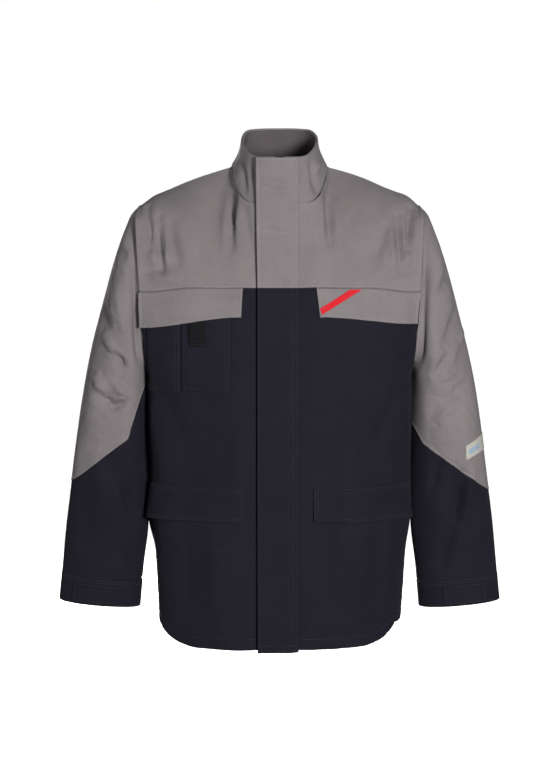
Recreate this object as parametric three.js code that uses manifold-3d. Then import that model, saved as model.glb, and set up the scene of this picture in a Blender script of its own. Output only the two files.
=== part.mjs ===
// Welding work jacket in woven cloth, zipped up and hung by the loop inside its neck.
// Millimetres, +Z up, the front faces -Y, and the wearer's right hand is at -X.
// The pattern is drawn with the hem at height 0, then moved so that the hanger loop is the origin.
import * as THREE from 'three';
import { mergeVertices } from 'three/addons/utils/BufferGeometryUtils.js';
import Module from 'manifold-3d';

const wasm = await Module();
wasm.setup();

// ---- Driving dimensions -------------------------------------------------------------------
const clothThickness = 2.2;     // outer cloth with its backing
const liningThickness = 1.4;
const seamGap = 0.4;            // clearance kept between two pieces that are sewn together
const shoulderSeamGap = 0.9;    // the same at the shoulder, where the cloth's thickness leans
const layerGap = 0.5;           // clearance kept between two layers of cloth
const collarGap = 1.4;          // between the collar and its lining
const bagGap = 1;               // the same behind the front panel, where the layers bend together

const hemHalfWidth = 194;
const waistHalfWidth = 210;
const waistHeight = 250;
const chestHalfWidth = 213;     // at the armpit, side seam to centre
const frontBow = { radius: 4500, depth: 125, height: 253 };   // side view of the centre front: one arc
const backDepth = { hem: 112, chest: 120 };
const bodyRoundness = 2.6;      // exponent of the rounded cross-section

const armpit = { x: chestHalfWidth + 1.5, z: 434 };
const shoulderPoint = { x: 231, z: 709 };
const armholeHalfDepth = 75;
const armholeRoundness = 2.2;
const shoulderCrown = 3.6;      // how far the shoulder seam bows above a straight line
const frontYokeBow = 0.5;       // the same for the centre lines of the yokes
const backYokeBow = 9;
const neckShare = 0.36;         // the neck's share of a yoke's upper edge; the shoulder has the rest

const yokeSeamHeight = 578;
const frontEdgeX = 8;           // half of the space between the two front edges, where the zip lies

const neck = { halfWidth: 77, backDepth: 72, frontHeight: 712, backHeight: 771 };
const collarHeight = { front: 70, back: 57 };
const rim = {
  halfWidth: 62,
  backDepth: 60,
  frontHeight: neck.frontHeight + collarHeight.front,
  backHeight: neck.backHeight + collarHeight.back,
};
const collarRoundness = 2.4;

const stormFlap = {
  sewnX: 31, freeX: -35, bottom: -3, top: rim.frontHeight, standOff: 5, collarStandOff: 2.2,
};
const snap = { radius: 5.5, count: 4, x: -20, lowest: 90, highest: yokeSeamHeight - 18, studHeight: 1.9 };

const chestFlap = { innerX: 57, top: yokeSeamHeight - 0.6, innerDrop: 45.4, outerDrop: 63.4, edgeMargin: 3 };
const chestFlapStandOff = { right: 7.2, left: 1.4 };
const patchGap = 1.4;             // behind a patch's edges, which are straight between the panel's bends
const chestPatch = {
  innerX: 77.5, outerX: 153, top: yokeSeamHeight - 18, height: 146, proud: 4.6, wall: 1.5,
};
const penPatch = { innerX: chestPatch.outerX + 3, edgeMargin: 9, height: 149 };
const strapLoop = { innerX: 115.5, outerX: 140.5, top: yokeSeamHeight - 30, height: 62, thickness: 1.6 };

// Corners of the ribbon, measured across and down from the flap's top inner corner.
const ribbon = { low: { inner: [6, 31.4], outer: [9, 40.9] }, high: { inner: [54, 1.9], outer: [73, 1.9] } };
const hipFlap = { innerX: 54, outerFraction: 0.83, top: 262, innerDrop: 54, outerDrop: 58, flare: 6 };
const hipBag = { innerX: 60, outerX: 184, top: hipFlap.top - 4, height: 168 };
const chestBag = { innerX: 72, outerX: 196, top: chestFlap.top - 5.4, height: 142 };
const bagDepth = 4.6;
const bagWall = 1.2;
const pocketSlit = { height: 2.6, drop: 12, margin: 8 };

const zip = {
  bottom: 4, top: rim.frontHeight - 8, teethInner: 0.7, teethOuter: 3.1, tapeOuter: 14, toothPitch: 48,
};
const zipEnd = { margin: 1, topStop: 4.4, bottomPiece: 10.4 };
// Offsets from the outer face: the tapes lie behind the front edges, the facings behind the tapes.
const zipLayer = {
  teethFront: -1.9,
  teethBack: -clothThickness - 3,
  tapeFront: -clothThickness - 0.9,
  tapeBack: -clothThickness - 2,
};
const slider = { height: 13, halfWidth: 5.4, plate: 1.1, topHeight: zip.top - 10, fin: 0.7 };
const zipPull = {
  length: 26, width: 7, thickness: 1.4, pegRadius: 1.5, pegDrop: 4, clearance: 0.35, standOff: 1,
};
const facing = {
  innerX: 10,
  outerX: 58,
  front: zipLayer.tapeBack - 0.6,
  back: zipLayer.tapeBack - 2,
  bottom: 18,
  top: yokeSeamHeight - 10,
};

// Outward and downward steps from the shoulder point (top line) and from the armpit (under line).
const sleeveTop = [[1.4, 0], [31, -77], [59, -175], [82, -269], [101, -389], [117, -514], [131, -647]];
const sleeveUnder = [[1.4, 0], [2.7, -16], [3.3, -39], [3.3, -84], [2.5, -164], [4.5, -259], [14.5, -384]];
const sleeveHalfDepth = [armholeHalfDepth, 77, 74, 66, 58, 48, 40];
const sleeveClearance = 4;      // least distance from the under line to the body's side
const sleeveRoundness = 2.2;
const cuffStart = 0.943;
const colourSeam = {
  right: [[0, 0.15], [63, 0.58], [180, 0.75], [297, 0.58], [360, 0.15]],
  left: [[0, 0.5], [45, 0.58], [180, 0.77], [315, 0.58], [360, 0.5]],
};
const cuffTab = { sewnAngle: 128, freeAngle: 68, low: 0.955, high: 0.996, thickness: 1.8 };

// The loop's ends are seated a little way into the wall, which leans back there.
const hangerLoop = {
  y: neck.backDepth - 14, z: neck.backHeight - 7, halfSpan: 34, height: 8, thickness: 1.3, seat: 0.6,
};
const sizeLabel = {
  halfWidth: 24, top: neck.backHeight - 19, bottom: neck.backHeight - 55, thickness: 0.9,
};

const colours = {
  grey: 0x7d7577, navy: 0x22222b, tape: 0x1c1c22, brass: 0x8d7a4e, red: 0xd8142c, white: 0xe8e6dc,
};

// ---- Small helpers ------------------------------------------------------------------------
const { lerp, smoothstep, degToRad } = THREE.MathUtils;

const fractions = (count) => Array.from({ length: count + 1 }, (_, i) => i / count);
const spread = (low, high, count) => fractions(count).map((t) => lerp(low, high, t));
const signedPower = (value, exponent) => Math.sign(value) * Math.abs(value) ** exponent;

// A plain closed sheet of cloth: the box's u and v run over the surface, and its depth runs from
// the inner offset to the outer one. The surface takes (u, v, offset) and returns a point.
function sheet(surface, us, vs, innerOffset, outerOffset) {
  const geometry = new THREE.BoxGeometry(1, 1, 1, us.length - 1, vs.length - 1, 1);
  const position = geometry.attributes.position;
  for (let i = 0; i < position.count; i += 1) {
    const u = us[Math.round((position.getX(i) + 0.5) * (us.length - 1))];
    const v = vs[Math.round((position.getY(i) + 0.5) * (vs.length - 1))];
    const offset = position.getZ(i) > 0 ? outerOffset : innerOffset;
    const point = surface(u, v, typeof offset === 'function' ? offset(u, v) : offset);
    position.setXYZ(i, point.x, point.y, point.z);
  }
  return facingOut(weld(geometry));
}

function weld(geometry) {
  geometry.deleteAttribute('normal');
  geometry.deleteAttribute('uv');
  return mergeVertices(geometry, 1e-4);
}

function signedVolume(geometry) {
  const position = geometry.attributes.position;
  const corner = [new THREE.Vector3(), new THREE.Vector3(), new THREE.Vector3()];
  let volume = 0;
  for (let i = 0; i < geometry.index.count; i += 3) {
    corner.forEach((point, k) => point.fromBufferAttribute(position, geometry.index.getX(i + k)));
    volume += corner[0].dot(corner[1].cross(corner[2])) / 6;
  }
  return volume;
}

function facingOut(geometry) {
  if (signedVolume(geometry) < 0) {
    const index = geometry.index;
    for (let i = 0; i < index.count; i += 3) {
      const second = index.getX(i + 1);
      index.setX(i + 1, index.getX(i + 2));
      index.setX(i + 2, second);
    }
  }
  return geometry;
}

function toSolid(geometry) {
  const merged = geometry.index && !geometry.attributes.normal ? geometry : weld(geometry);
  const vertProperties = new Float32Array(merged.attributes.position.array);
  const triVerts = new Uint32Array(merged.index.array);
  return new wasm.Manifold(new wasm.Mesh({ numProp: 3, vertProperties, triVerts }));
}

function toGeometry(solid) {
  const mesh = solid.getMesh();
  const geometry = new THREE.BufferGeometry();
  geometry.setAttribute('position', new THREE.BufferAttribute(new Float32Array(mesh.vertProperties), 3));
  geometry.setIndex(new THREE.BufferAttribute(new Uint32Array(mesh.triVerts), 1));
  return geometry;
}

const cut = (body, ...tools) => toGeometry(
  tools.reduce((left, tool) => left.subtract(toSolid(tool)), toSolid(body)),
);
const join = (...bodies) => toGeometry(bodies.map(toSolid).reduce((sum, body) => sum.add(body)));

// Gives a surface of (u, v) an offset along its own outward normal.
function lifted(surface, stepU, stepV, centre) {
  return (u, v, offset) => {
    const point = surface(u, v);
    const alongU = surface(u + stepU, v).sub(surface(u - stepU, v));
    const alongV = surface(u, v + stepV).sub(surface(u, v - stepV));
    const normal = alongU.cross(alongV).normalize();
    if (normal.dot(point.clone().sub(centre(point))) < 0) normal.negate();
    return point.addScaledVector(normal, offset);
  };
}

const bodyCentre = (point) => new THREE.Vector3(0, 0, Math.min(point.z, 560));

// ---- Body surface -------------------------------------------------------------------------
// Depth of the centre front, measured forward from the middle of the body.
function frontDepth(z) {
  const { radius, depth, height } = frontBow;
  return depth - (radius - Math.sqrt(radius ** 2 - (z - height) ** 2));
}

const backDepthAt = (z) => lerp(backDepth.hem, backDepth.chest, smoothstep(z, 0, 420));

// Where a level of the body ends: at the side seam below the armpit, at the armhole above it.
function sideEdge(z) {
  if (z <= armpit.z) {
    const flare = Math.sin(THREE.MathUtils.clamp(z / waistHeight, 0, 1) * Math.PI / 2);
    const lower = lerp(hemHalfWidth, waistHalfWidth, flare);
    return { x: lerp(lower, chestHalfWidth, smoothstep(z, waistHeight, armpit.z)), y: 0 };
  }
  const rise = (z - armpit.z) / (shoulderPoint.z - armpit.z);
  const height = Math.min(Math.abs(2 * rise - 1), 1);
  const stepOut = (armpit.x - chestHalfWidth) * smoothstep(z, armpit.z, armpit.z + 20);
  return {
    x: lerp(chestHalfWidth, shoulderPoint.x, rise) + stepOut,
    y: armholeHalfDepth * (1 - height ** armholeRoundness) ** (1 / armholeRoundness),
  };
}

// One level of the front (facing -1) or back (facing 1). The fraction runs from the centre to the side.
function bodyPoint(side, facingSign, fraction, z) {
  const centre = facingSign < 0 ? frontDepth(z) : backDepthAt(z);
  const edge = sideEdge(z);
  const softness = lerp(bodyRoundness, 1.15, smoothstep(z, armpit.z - 40, armpit.z + 110));
  const turn = THREE.MathUtils.clamp(fraction, 0, 1) * Math.PI / 2;
  return new THREE.Vector3(
    side * edge.x * Math.sin(turn) ** (2 / bodyRoundness),
    facingSign * (edge.y + (centre - edge.y) * Math.cos(turn) ** (2 / softness) + seamGap / 2),
    z,
  );
}

// The fraction that gives a distance x from the centre line.
const fractionAt = (x, z) => Math.asin(Math.min(x / sideEdge(z).x, 1) ** (bodyRoundness / 2)) * 2 / Math.PI;
const frontAt = (side, x, z) => bodyPoint(side, -1, fractionAt(Math.max(x, 0), z), z);
const onFront = (side) => lifted((x, z) => frontAt(side, x, z), 0.2, 0.2, bodyCentre);

const bodyLevels = [
  ...[0, 0.207, 0.415, 0.622, 0.806, 0.933, 0.991].map((t) => t * armpit.z),
  ...[0.028, 0.111, 0.25, 0.458, 0.722, 1].map((t) => lerp(armpit.z, yokeSeamHeight - seamGap / 2, t)),
];

function frontPanel(side, slits) {
  const across = (u, z) => lerp(fractionAt(frontEdgeX, z), 1, u);
  const surface = lifted((u, z) => bodyPoint(side, -1, across(u, z), z), 0.002, 0.2, bodyCentre);
  const panel = sheet(surface, fractions(11), bodyLevels, -clothThickness, 0);
  const tools = slits.map(({ innerX, outerX, top }) => sheet(
    onFront(side),
    spread(innerX + pocketSlit.margin, outerX - pocketSlit.margin, 5),
    [top - pocketSlit.drop - pocketSlit.height, top - pocketSlit.drop],
    -clothThickness - 1.5,
    1.5,
  ));
  return cut(panel, ...tools);
}

function backPanel() {
  const surface = lifted((u, z) => bodyPoint(Math.sign(u) || 1, 1, Math.abs(u), z), 0.002, 0.2, bodyCentre);
  return sheet(surface, spread(-1, 1, 16), bodyLevels, -clothThickness, 0);
}

// ---- Neck, collar and yokes ---------------------------------------------------------------
// Angle 0 is the centre front and 180 the centre back. The ring is a rounded oval in plan.
function neckRing(ring, side, degrees) {
  const angle = degToRad(degrees);
  const isRim = ring === rim;
  const depth = Math.cos(angle) > 0 ? frontDepth(ring.frontHeight) : ring.backDepth;
  const rise = isRim ? smoothstep(degrees, 25, 135) : smoothstep(degrees, 30, 100);
  return new THREE.Vector3(
    side * ring.halfWidth * Math.sin(angle) ** (2 / collarRoundness),
    -depth * signedPower(Math.cos(angle), 2 / collarRoundness),
    lerp(ring.frontHeight, ring.backHeight, rise),
  );
}

const neckAngleAt = (ring, x) => THREE.MathUtils.radToDeg(
  Math.asin((x / ring.halfWidth) ** (collarRoundness / 2)),
);

// How far the collar's oval falls back from its front, as a share of its depth.
const ovalSag = (share) => 1 - (1 - share ** collarRoundness) ** (1 / collarRoundness);

function collarSheet(innerOffset, outerOffset, startX, liftBelow, liftAbove) {
  const start = (v) => lerp(neckAngleAt(neck, startX), neckAngleAt(rim, startX), v);
  const surface = lifted((u, v) => {
    const side = u < 0 ? -1 : 1;
    const degrees = lerp(start(v), 180, 1 - Math.min(Math.abs(u), 1));
    return neckRing(neck, side, degrees).lerp(neckRing(rim, side, degrees), v);
  }, 0.002, 0.01, (point) => new THREE.Vector3(0, -10, point.z));
  return sheet(surface, spread(-1, 1, 24), spread(liftBelow, 1 - liftAbove, 2), innerOffset, outerOffset);
}

function shoulderLine(side, t) {
  const neckPoint = neckRing(neck, side, 90);
  return new THREE.Vector3(
    side * lerp(Math.abs(neckPoint.x), shoulderPoint.x, t),
    0,
    lerp(neckPoint.z, shoulderPoint.z, t) + 4 * shoulderCrown * t * (1 - t),
  );
}

// A patch between its four edges: yoke seam below, neck and shoulder above, centre line, armhole.
function yokePoint(side, facingSign, u, v) {
  const isFront = facingSign < 0;
  const innerX = isFront ? frontEdgeX : 0;
  const edgeX = sideEdge(yokeSeamHeight).x;
  const below = (t) => {
    const fraction = fractionAt(lerp(innerX, edgeX, t), yokeSeamHeight);
    return bodyPoint(side, facingSign, fraction, yokeSeamHeight);
  };
  const above = (t) => {
    if (t >= neckShare) return shoulderLine(side, (t - neckShare) / (1 - neckShare));
    const start = isFront ? neckAngleAt(neck, frontEdgeX) : 180;
    return neckRing(neck, side, lerp(start, 90, t / neckShare));
  };
  const centreLine = (t) => {
    const [low, high] = [below(0), above(0)];
    const z = lerp(low.z, high.z, t);
    const bow = facingSign * (isFront ? frontYokeBow : backYokeBow);
    const y = lerp(low.y, high.y, t) + 4 * bow * t * (1 - t);
    return new THREE.Vector3(low.x, y, z);
  };
  const armhole = (t) => {
    const startRise = 2 * (yokeSeamHeight - armpit.z) / (shoulderPoint.z - armpit.z) - 1;
    const turn = lerp(Math.asin(signedPower(startRise, armholeRoundness / 2)), Math.PI / 2, t);
    const z = lerp(armpit.z, shoulderPoint.z, 0.5 + 0.5 * signedPower(Math.sin(turn), 2 / armholeRoundness));
    const edge = sideEdge(z);
    const depth = armholeHalfDepth * Math.max(Math.cos(turn), 0) ** (2 / armholeRoundness);
    return new THREE.Vector3(side * edge.x, facingSign * depth, z);
  };
  const mix = (a, b, t) => a.clone().lerp(b, t);
  const ruledUp = mix(below(u), above(u), v);
  const ruledAcross = mix(centreLine(v), armhole(v), u);
  const corners = mix(mix(below(0), below(1), u), mix(above(0), above(1), u), v);
  const point = ruledUp.add(ruledAcross).sub(corners);
  point.y += facingSign * shoulderSeamGap * v;
  return point;
}

const yokeColumns = [0, 0.06, 0.12, 0.18, 0.24, 0.3, 0.36, 0.49, 0.62, 0.75, 0.87, 0.998];

function frontYoke(side) {
  const clampedU = (u) => THREE.MathUtils.clamp(u, 0, 1);
  const clampedV = (v) => THREE.MathUtils.clamp(v, 0, 1);
  const surface = lifted((u, v) => yokePoint(side, -1, clampedU(u), clampedV(v)), 0.004, 0.004, bodyCentre);
  return sheet(surface, yokeColumns, spread(0.004, 0.997, 7), -clothThickness, 0);
}

function backYoke() {
  const clampedV = (v) => THREE.MathUtils.clamp(v, 0, 1);
  const surface = lifted(
    (u, v) => yokePoint(u < 0 ? -1 : 1, 1, Math.min(Math.abs(u), 1), clampedV(v)),
    0.004,
    0.004,
    bodyCentre,
  );
  const columns = [...yokeColumns.slice(1).reverse().map((u) => -u), ...yokeColumns];
  return sheet(surface, columns, spread(0.004, 0.997, 7), -clothThickness, 0);
}

// ---- Centre front: zip, storm flap, snaps, facings ---------------------------------------
// The centre front surface bends back sideways only where it passes over the neck and collar.
const rimSag = frontDepth(rim.frontHeight) * ovalSag(zip.tapeOuter / rim.halfWidth);
const rimBend = 1.1 * rimSag / zip.tapeOuter ** 2;

function centrePoint(x, z) {
  const bend = rimBend * Math.max(z - yokeSeamHeight, 0) / (rim.frontHeight - yokeSeamHeight);
  return new THREE.Vector3(x, -frontDepth(z) - seamGap / 2 + bend * x * x, z);
}

const onCentre = lifted(centrePoint, 0.2, 0.2, bodyCentre);
const frontTilt = (z) => Math.asin((z - frontBow.height) / frontBow.radius);

function stormFlapPart(bottom, top, count) {
  const { sewnX, freeX, standOff, collarStandOff } = stormFlap;
  const sewnGap = (z) => lerp(layerGap, collarStandOff, smoothstep(z, yokeSeamHeight + 50, neck.frontHeight));
  const rise = (x, z) => lerp(sewnGap(z), standOff, smoothstep(sewnX - x, 1, 15));
  const across = [freeX, -18, 0, 12, 17, 21, 25, sewnX];
  return sheet(onCentre, across, spread(bottom, top, count), rise, (x, z) => rise(x, z) + clothThickness);
}

function zipTape(side) {
  const across = [zip.teethOuter + 0.3, zip.tapeOuter].map((x) => side * x);
  return sheet(onCentre, across, spread(zip.bottom, zip.top, 14), zipLayer.tapeBack, zipLayer.tapeFront);
}

// The row of teeth is one notched strip; each notch is one step of the pattern.
function zipTeeth(side) {
  const count = Math.round((zip.top - zip.bottom) / zip.toothPitch) * 2;
  const across = [zip.teethInner, zip.teethOuter];
  const levels = spread(zip.bottom + 12, zip.top - 6, count);
  const surface = (x, z, offset) => {
    const notched = Math.round(((z - levels[0]) / (levels[1] - levels[0]))) % 2 === 1 ? 0.5 : 0;
    const inner = x === zip.teethInner ? notched : 0;
    return onCentre(side * (x + inner), z, offset);
  };
  return sheet(surface, across, levels, zipLayer.teethBack, zipLayer.teethFront);
}

// A small block on the centre front, given by its sides and its front and back offsets.
function centreBlock(left, right, bottom, top, back, front) {
  return sheet(onCentre, [left, right], [bottom, top], back, front);
}

function zipTopStop(side) {
  const top = zip.top - zipEnd.margin;
  const [inner, outer] = [side * zip.teethInner, side * zip.teethOuter];
  return centreBlock(inner, outer, top - zipEnd.topStop, top, zipLayer.teethBack, zipLayer.teethFront);
}

// The box on one tape and the pin on the other; each stands proud of the teeth's faces by a margin.
function zipBottomPiece(side, proud) {
  const bottom = zip.bottom + zipEnd.margin;
  const [inner, outer] = [side * zip.teethInner, side * zip.teethOuter];
  const [back, front] = [zipLayer.teethBack - proud, zipLayer.teethFront + proud];
  return centreBlock(inner, outer, bottom, bottom + zipEnd.bottomPiece, back, front);
}

// Front and back plates either side of the teeth, joined by a fin between the two rows,
// with the peg that carries the pull.
function zipSlider() {
  const { height, halfWidth, plate, topHeight, fin } = slider;
  const bottom = topHeight - height;
  const frontFace = zipLayer.teethFront + 0.35;
  const backFace = zipLayer.teethBack - 0.35;
  const frontPlate = centreBlock(-halfWidth, halfWidth, bottom, topHeight, frontFace, frontFace + plate);
  const backPlate = centreBlock(-halfWidth, halfWidth, bottom, topHeight, backFace - plate, backFace);
  const web = centreBlock(-fin / 2, fin / 2, bottom + 1, topHeight - 1, backFace - 0.2, frontFace + 0.2);
  const pegLength = zipPull.standOff + zipPull.thickness + 0.8;
  const peg = new THREE.CylinderGeometry(zipPull.pegRadius, zipPull.pegRadius, pegLength + 0.3, 16);
  const middle = onCentre(0, topHeight - zipPull.pegDrop, frontFace + plate - 0.3 + pegLength / 2);
  peg.rotateX(-frontTilt(topHeight - zipPull.pegDrop));
  peg.translate(middle.x, middle.y, middle.z);
  return join(frontPlate, backPlate, web, peg);
}

function zipPullTab() {
  const { length, width, thickness, pegRadius, clearance, pegDrop, standOff } = zipPull;
  const outline = new THREE.Shape();
  outline.absarc(0, 0, width / 2, 0, Math.PI, false);
  outline.lineTo(-width / 2 - 0.6, -length + width);
  outline.absarc(0, -length + width, width / 2 + 0.6, Math.PI, 2 * Math.PI, false);
  outline.closePath();
  const eye = new THREE.Path();
  eye.absarc(0, 0, pegRadius + clearance, 0, 2 * Math.PI, true);
  outline.holes.push(eye);
  const tab = new THREE.ExtrudeGeometry(outline, { depth: thickness, bevelEnabled: false, curveSegments: 8 });
  const frontFace = zipLayer.teethFront + 0.35 + slider.plate;
  const seat = onCentre(0, slider.topHeight - pegDrop, frontFace + standOff);
  tab.rotateX(Math.PI / 2 - frontTilt(slider.topHeight - pegDrop));
  tab.translate(seat.x, seat.y, seat.z);
  return weld(tab);
}

function frontFacing(side) {
  const across = spread(facing.innerX, facing.outerX, 3);
  return sheet(onFront(side), across, spread(facing.bottom, facing.top, 12), facing.back, facing.front);
}

const snapHeights = spread(snap.lowest, snap.highest, snap.count - 1);

function snapDisc(z, back, front, radius) {
  const height = front - back;
  const disc = new THREE.CylinderGeometry(radius, radius * 0.9, height, 14);
  const middle = onCentre(snap.x, z, (front + back) / 2);
  disc.rotateX(-frontTilt(z));
  disc.translate(middle.x, middle.y, middle.z);
  return weld(disc);
}

// ---- Pockets ------------------------------------------------------------------------------
const flapEdge = (z) => sideEdge(z).x - chestFlap.edgeMargin;

function chestFlapSheet(side) {
  const standOff = side < 0 ? chestFlapStandOff.right : chestFlapStandOff.left;
  const surface = (u, v, offset) => {
    const bottom = chestFlap.top - lerp(chestFlap.innerDrop, chestFlap.outerDrop, smoothstep(u, 0, 1));
    const z = lerp(chestFlap.top, bottom, v);
    return onFront(side)(lerp(chestFlap.innerX, flapEdge(z), u), z, offset);
  };
  const rise = (u, v) => layerGap + (standOff - layerGap) * smoothstep(v, 0.02, 0.3);
  const levels = [0, 0.1, 0.2, 0.3, 0.65, 1];
  return sheet(surface, fractions(9), levels, rise, (u, v) => rise(u, v) + clothThickness);
}

function hipFlapSheet(side) {
  const surface = lifted((u, v) => {
    const z = hipFlap.top - v * lerp(hipFlap.innerDrop, hipFlap.outerDrop, u);
    return bodyPoint(side, -1, lerp(fractionAt(hipFlap.innerX, z), hipFlap.outerFraction, u), z);
  }, 0.002, 0.002, bodyCentre);
  const rise = (u, v) => layerGap + hipFlap.flare * smoothstep(u, 0.6, 1) * v;
  return sheet(surface, fractions(10), spread(0, 1, 4), rise, (u, v) => rise(u, v) + clothThickness);
}

// A patch sewn on the front, open along its top edge.
function patchPocket(side, innerX, outerX, height) {
  const { top, proud, wall } = chestPatch;
  const bottom = top - height;
  const place = (margin) => (u, z, offset) => {
    const outer = typeof outerX === 'function' ? outerX(z) : outerX;
    return onFront(side)(lerp(innerX + margin, outer - margin, u), z, offset);
  };
  const body = sheet(place(0), fractions(6), spread(bottom, top, 3), patchGap, proud);
  const hollow = sheet(place(wall), fractions(6), spread(bottom + wall, top + 5, 3), -1, proud - wall);
  return cut(body, hollow);
}

function strapLoopSheet() {
  const { innerX, outerX, top, height, thickness } = strapLoop;
  const back = chestPatch.proud + layerGap;
  return sheet(onFront(-1), [innerX, outerX], spread(top - height, top, 3), back, back + thickness);
}

// A bag behind the front panel: a shallow tray whose open side is closed by the panel.
function pocketBag(side, { innerX, outerX, top, height }) {
  const front = -clothThickness - bagGap;
  const tray = (margin, extra) => [
    onFront(side),
    spread(innerX + margin, outerX - margin, 6),
    spread(top - height + margin, top - margin, 5),
    front - bagDepth + margin,
    front + extra,
  ];
  return cut(sheet(...tray(0, 0)), sheet(...tray(bagWall, 1)));
}

// The ribbon lies across the top inner corner of the left chest flap.
function ribbonLabel() {
  const { low, high } = ribbon;
  const surface = (u, v, offset) => {
    const x = lerp(lerp(low.inner[0], high.inner[0], u), lerp(low.outer[0], high.outer[0], u), v);
    const drop = lerp(lerp(low.inner[1], high.inner[1], u), lerp(low.outer[1], high.outer[1], u), v);
    return onFront(1)(chestFlap.innerX + x, chestFlap.top - drop, offset);
  };
  const back = chestFlapStandOff.left + clothThickness + 0.4;
  return sheet(surface, fractions(4), [0, 1], back, back + 0.8);
}

// ---- Sleeves ------------------------------------------------------------------------------
function underPoint([out, drop], i) {
  const z = armpit.z + drop;
  const clearOfBody = i === 0 ? 0 : sideEdge(z).x + sleeveClearance;
  return new THREE.Vector3(Math.max(armpit.x + out, clearOfBody), 0, z);
}

const topPoint = ([out, drop]) => new THREE.Vector3(shoulderPoint.x + out, 0, shoulderPoint.z + drop);
const topCurve = new THREE.CatmullRomCurve3(sleeveTop.map(topPoint));
const underCurve = new THREE.CatmullRomCurve3(sleeveUnder.map(underPoint));
const depthPoint = (depth, i) => new THREE.Vector3(i, depth, 0);
const depthCurve = new THREE.CatmullRomCurve3(sleeveHalfDepth.map(depthPoint));

// Along runs from the armhole (0) to the cuff's edge (1). Angle 0 is the underarm line, 90 the
// front, 180 the top-arm line and 270 the back. The offset grows the section in its own plane.
function sleevePoint(side, degrees, along, offset) {
  const s = THREE.MathUtils.clamp(along, 0, 1);
  const top = topCurve.getPoint(s);
  const under = underCurve.getPoint(s);
  const depth = depthCurve.getPoint(s).y;
  const axis = under.clone().sub(top);
  const halfLength = axis.length() / 2;
  axis.normalize();
  const angle = degToRad(degrees);
  const across = (halfLength + offset) * signedPower(Math.cos(angle), 2 / sleeveRoundness);
  const forward = (depth + offset) * signedPower(Math.sin(angle), 2 / sleeveRoundness);
  const point = top.add(under).multiplyScalar(0.5).addScaledVector(axis, across);
  return new THREE.Vector3(side * point.x, -forward, point.z);
}

function seamAlong(side, degrees) {
  const points = side < 0 ? colourSeam.right : colourSeam.left;
  const next = Math.max(points.findIndex(([angle]) => angle >= degrees), 1);
  const [fromAngle, from] = points[next - 1];
  const [toAngle, to] = points[next];
  return lerp(from, to, (degrees - fromAngle) / (toAngle - fromAngle));
}

const seamAngleGap = 0.25;
const halfAngles = {
  front: [seamAngleGap, 180 - seamAngleGap],
  back: [180 + seamAngleGap, 360 - seamAngleGap],
};
const cuffGap = 0.0003;
const seamAlongGap = (degrees) => lerp(0.004, 0.0008, (1 - Math.cos(degToRad(degrees))) / 2);

function upperSleeve(side, half) {
  const surface = (degrees, v, offset) => {
    const along = lerp(0, seamAlong(side, degrees) - seamAlongGap(degrees), v);
    return sleevePoint(side, degrees, along, offset);
  };
  return sheet(surface, spread(...halfAngles[half], 9), fractions(7), -clothThickness, 0);
}

function lowerSleeve(side, half) {
  const surface = (degrees, v, offset) => {
    const along = lerp(seamAlong(side, degrees) + seamAlongGap(degrees), cuffStart - cuffGap, v);
    return sleevePoint(side, degrees, along, offset);
  };
  return sheet(surface, spread(...halfAngles[half], 9), fractions(6), -clothThickness, 0);
}

function cuff(side) {
  const surface = (degrees, along, offset) => sleevePoint(side, degrees, along, offset);
  const angles = spread(seamAngleGap, 360 - seamAngleGap, 24);
  return sheet(surface, angles, [cuffStart + cuffGap, 1], -clothThickness - 0.6, 0);
}

function cuffTabSheet(side) {
  const { sewnAngle, freeAngle, low, high, thickness } = cuffTab;
  const surface = (degrees, along, offset) => sleevePoint(side, degrees, along, offset);
  return sheet(surface, spread(sewnAngle, freeAngle, 5), [low, high], layerGap, layerGap + thickness);
}

function sleeveLabel() {
  const surface = (degrees, along, offset) => sleevePoint(1, degrees, along, offset);
  return sheet(surface, spread(122, 192, 6), [0.655, 0.688], 0.4, 1.2);
}

// ---- Inside the neck ----------------------------------------------------------------------
function hangerLoopStrip() {
  const { y, z, halfSpan, height, thickness } = hangerLoop;
  const wallAt = (x) => neckRing(neck, 1, 180 - neckAngleAt(neck, x)).y - clothThickness + hangerLoop.seat;
  const surface = (x, level, offset) => {
    const bow = (1 - (x / halfSpan) ** 2) ** 2;
    return new THREE.Vector3(x, lerp(wallAt(Math.abs(x)), y, bow) - offset, level);
  };
  return sheet(surface, spread(-halfSpan, halfSpan, 10), [z - height / 2, z + height / 2], 0, thickness);
}

function sizeLabelSheet() {
  const { halfWidth, top, bottom, thickness } = sizeLabel;
  const sag = neck.backDepth * ovalSag(halfWidth / neck.halfWidth);
  const surface = (x, v, offset) => {
    const high = yokePoint(1, 1, 0, 0.97);
    const low = yokePoint(1, 1, 0, 0.6);
    const z = lerp(bottom, top, v);
    const y = lerp(low.y, high.y, (z - low.z) / (high.z - low.z)) - clothThickness - sag;
    return new THREE.Vector3(x, y - offset, z);
  };
  return sheet(surface, [-halfWidth, halfWidth], [0, 1], 0, thickness);
}

// ---- Assembly -----------------------------------------------------------------------------
const jacket = new THREE.Group();
jacket.position.set(0, -hangerLoop.y, -hangerLoop.z);

function addPiece(name, geometry, color, roughness = 0.9, metalness = 0) {
  const mesh = new THREE.Mesh(geometry, new THREE.MeshStandardMaterial({ color, roughness, metalness }));
  mesh.name = name;
  jacket.add(mesh);
}

const sides = [{ side: -1, label: 'right' }, { side: 1, label: 'left' }];

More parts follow.
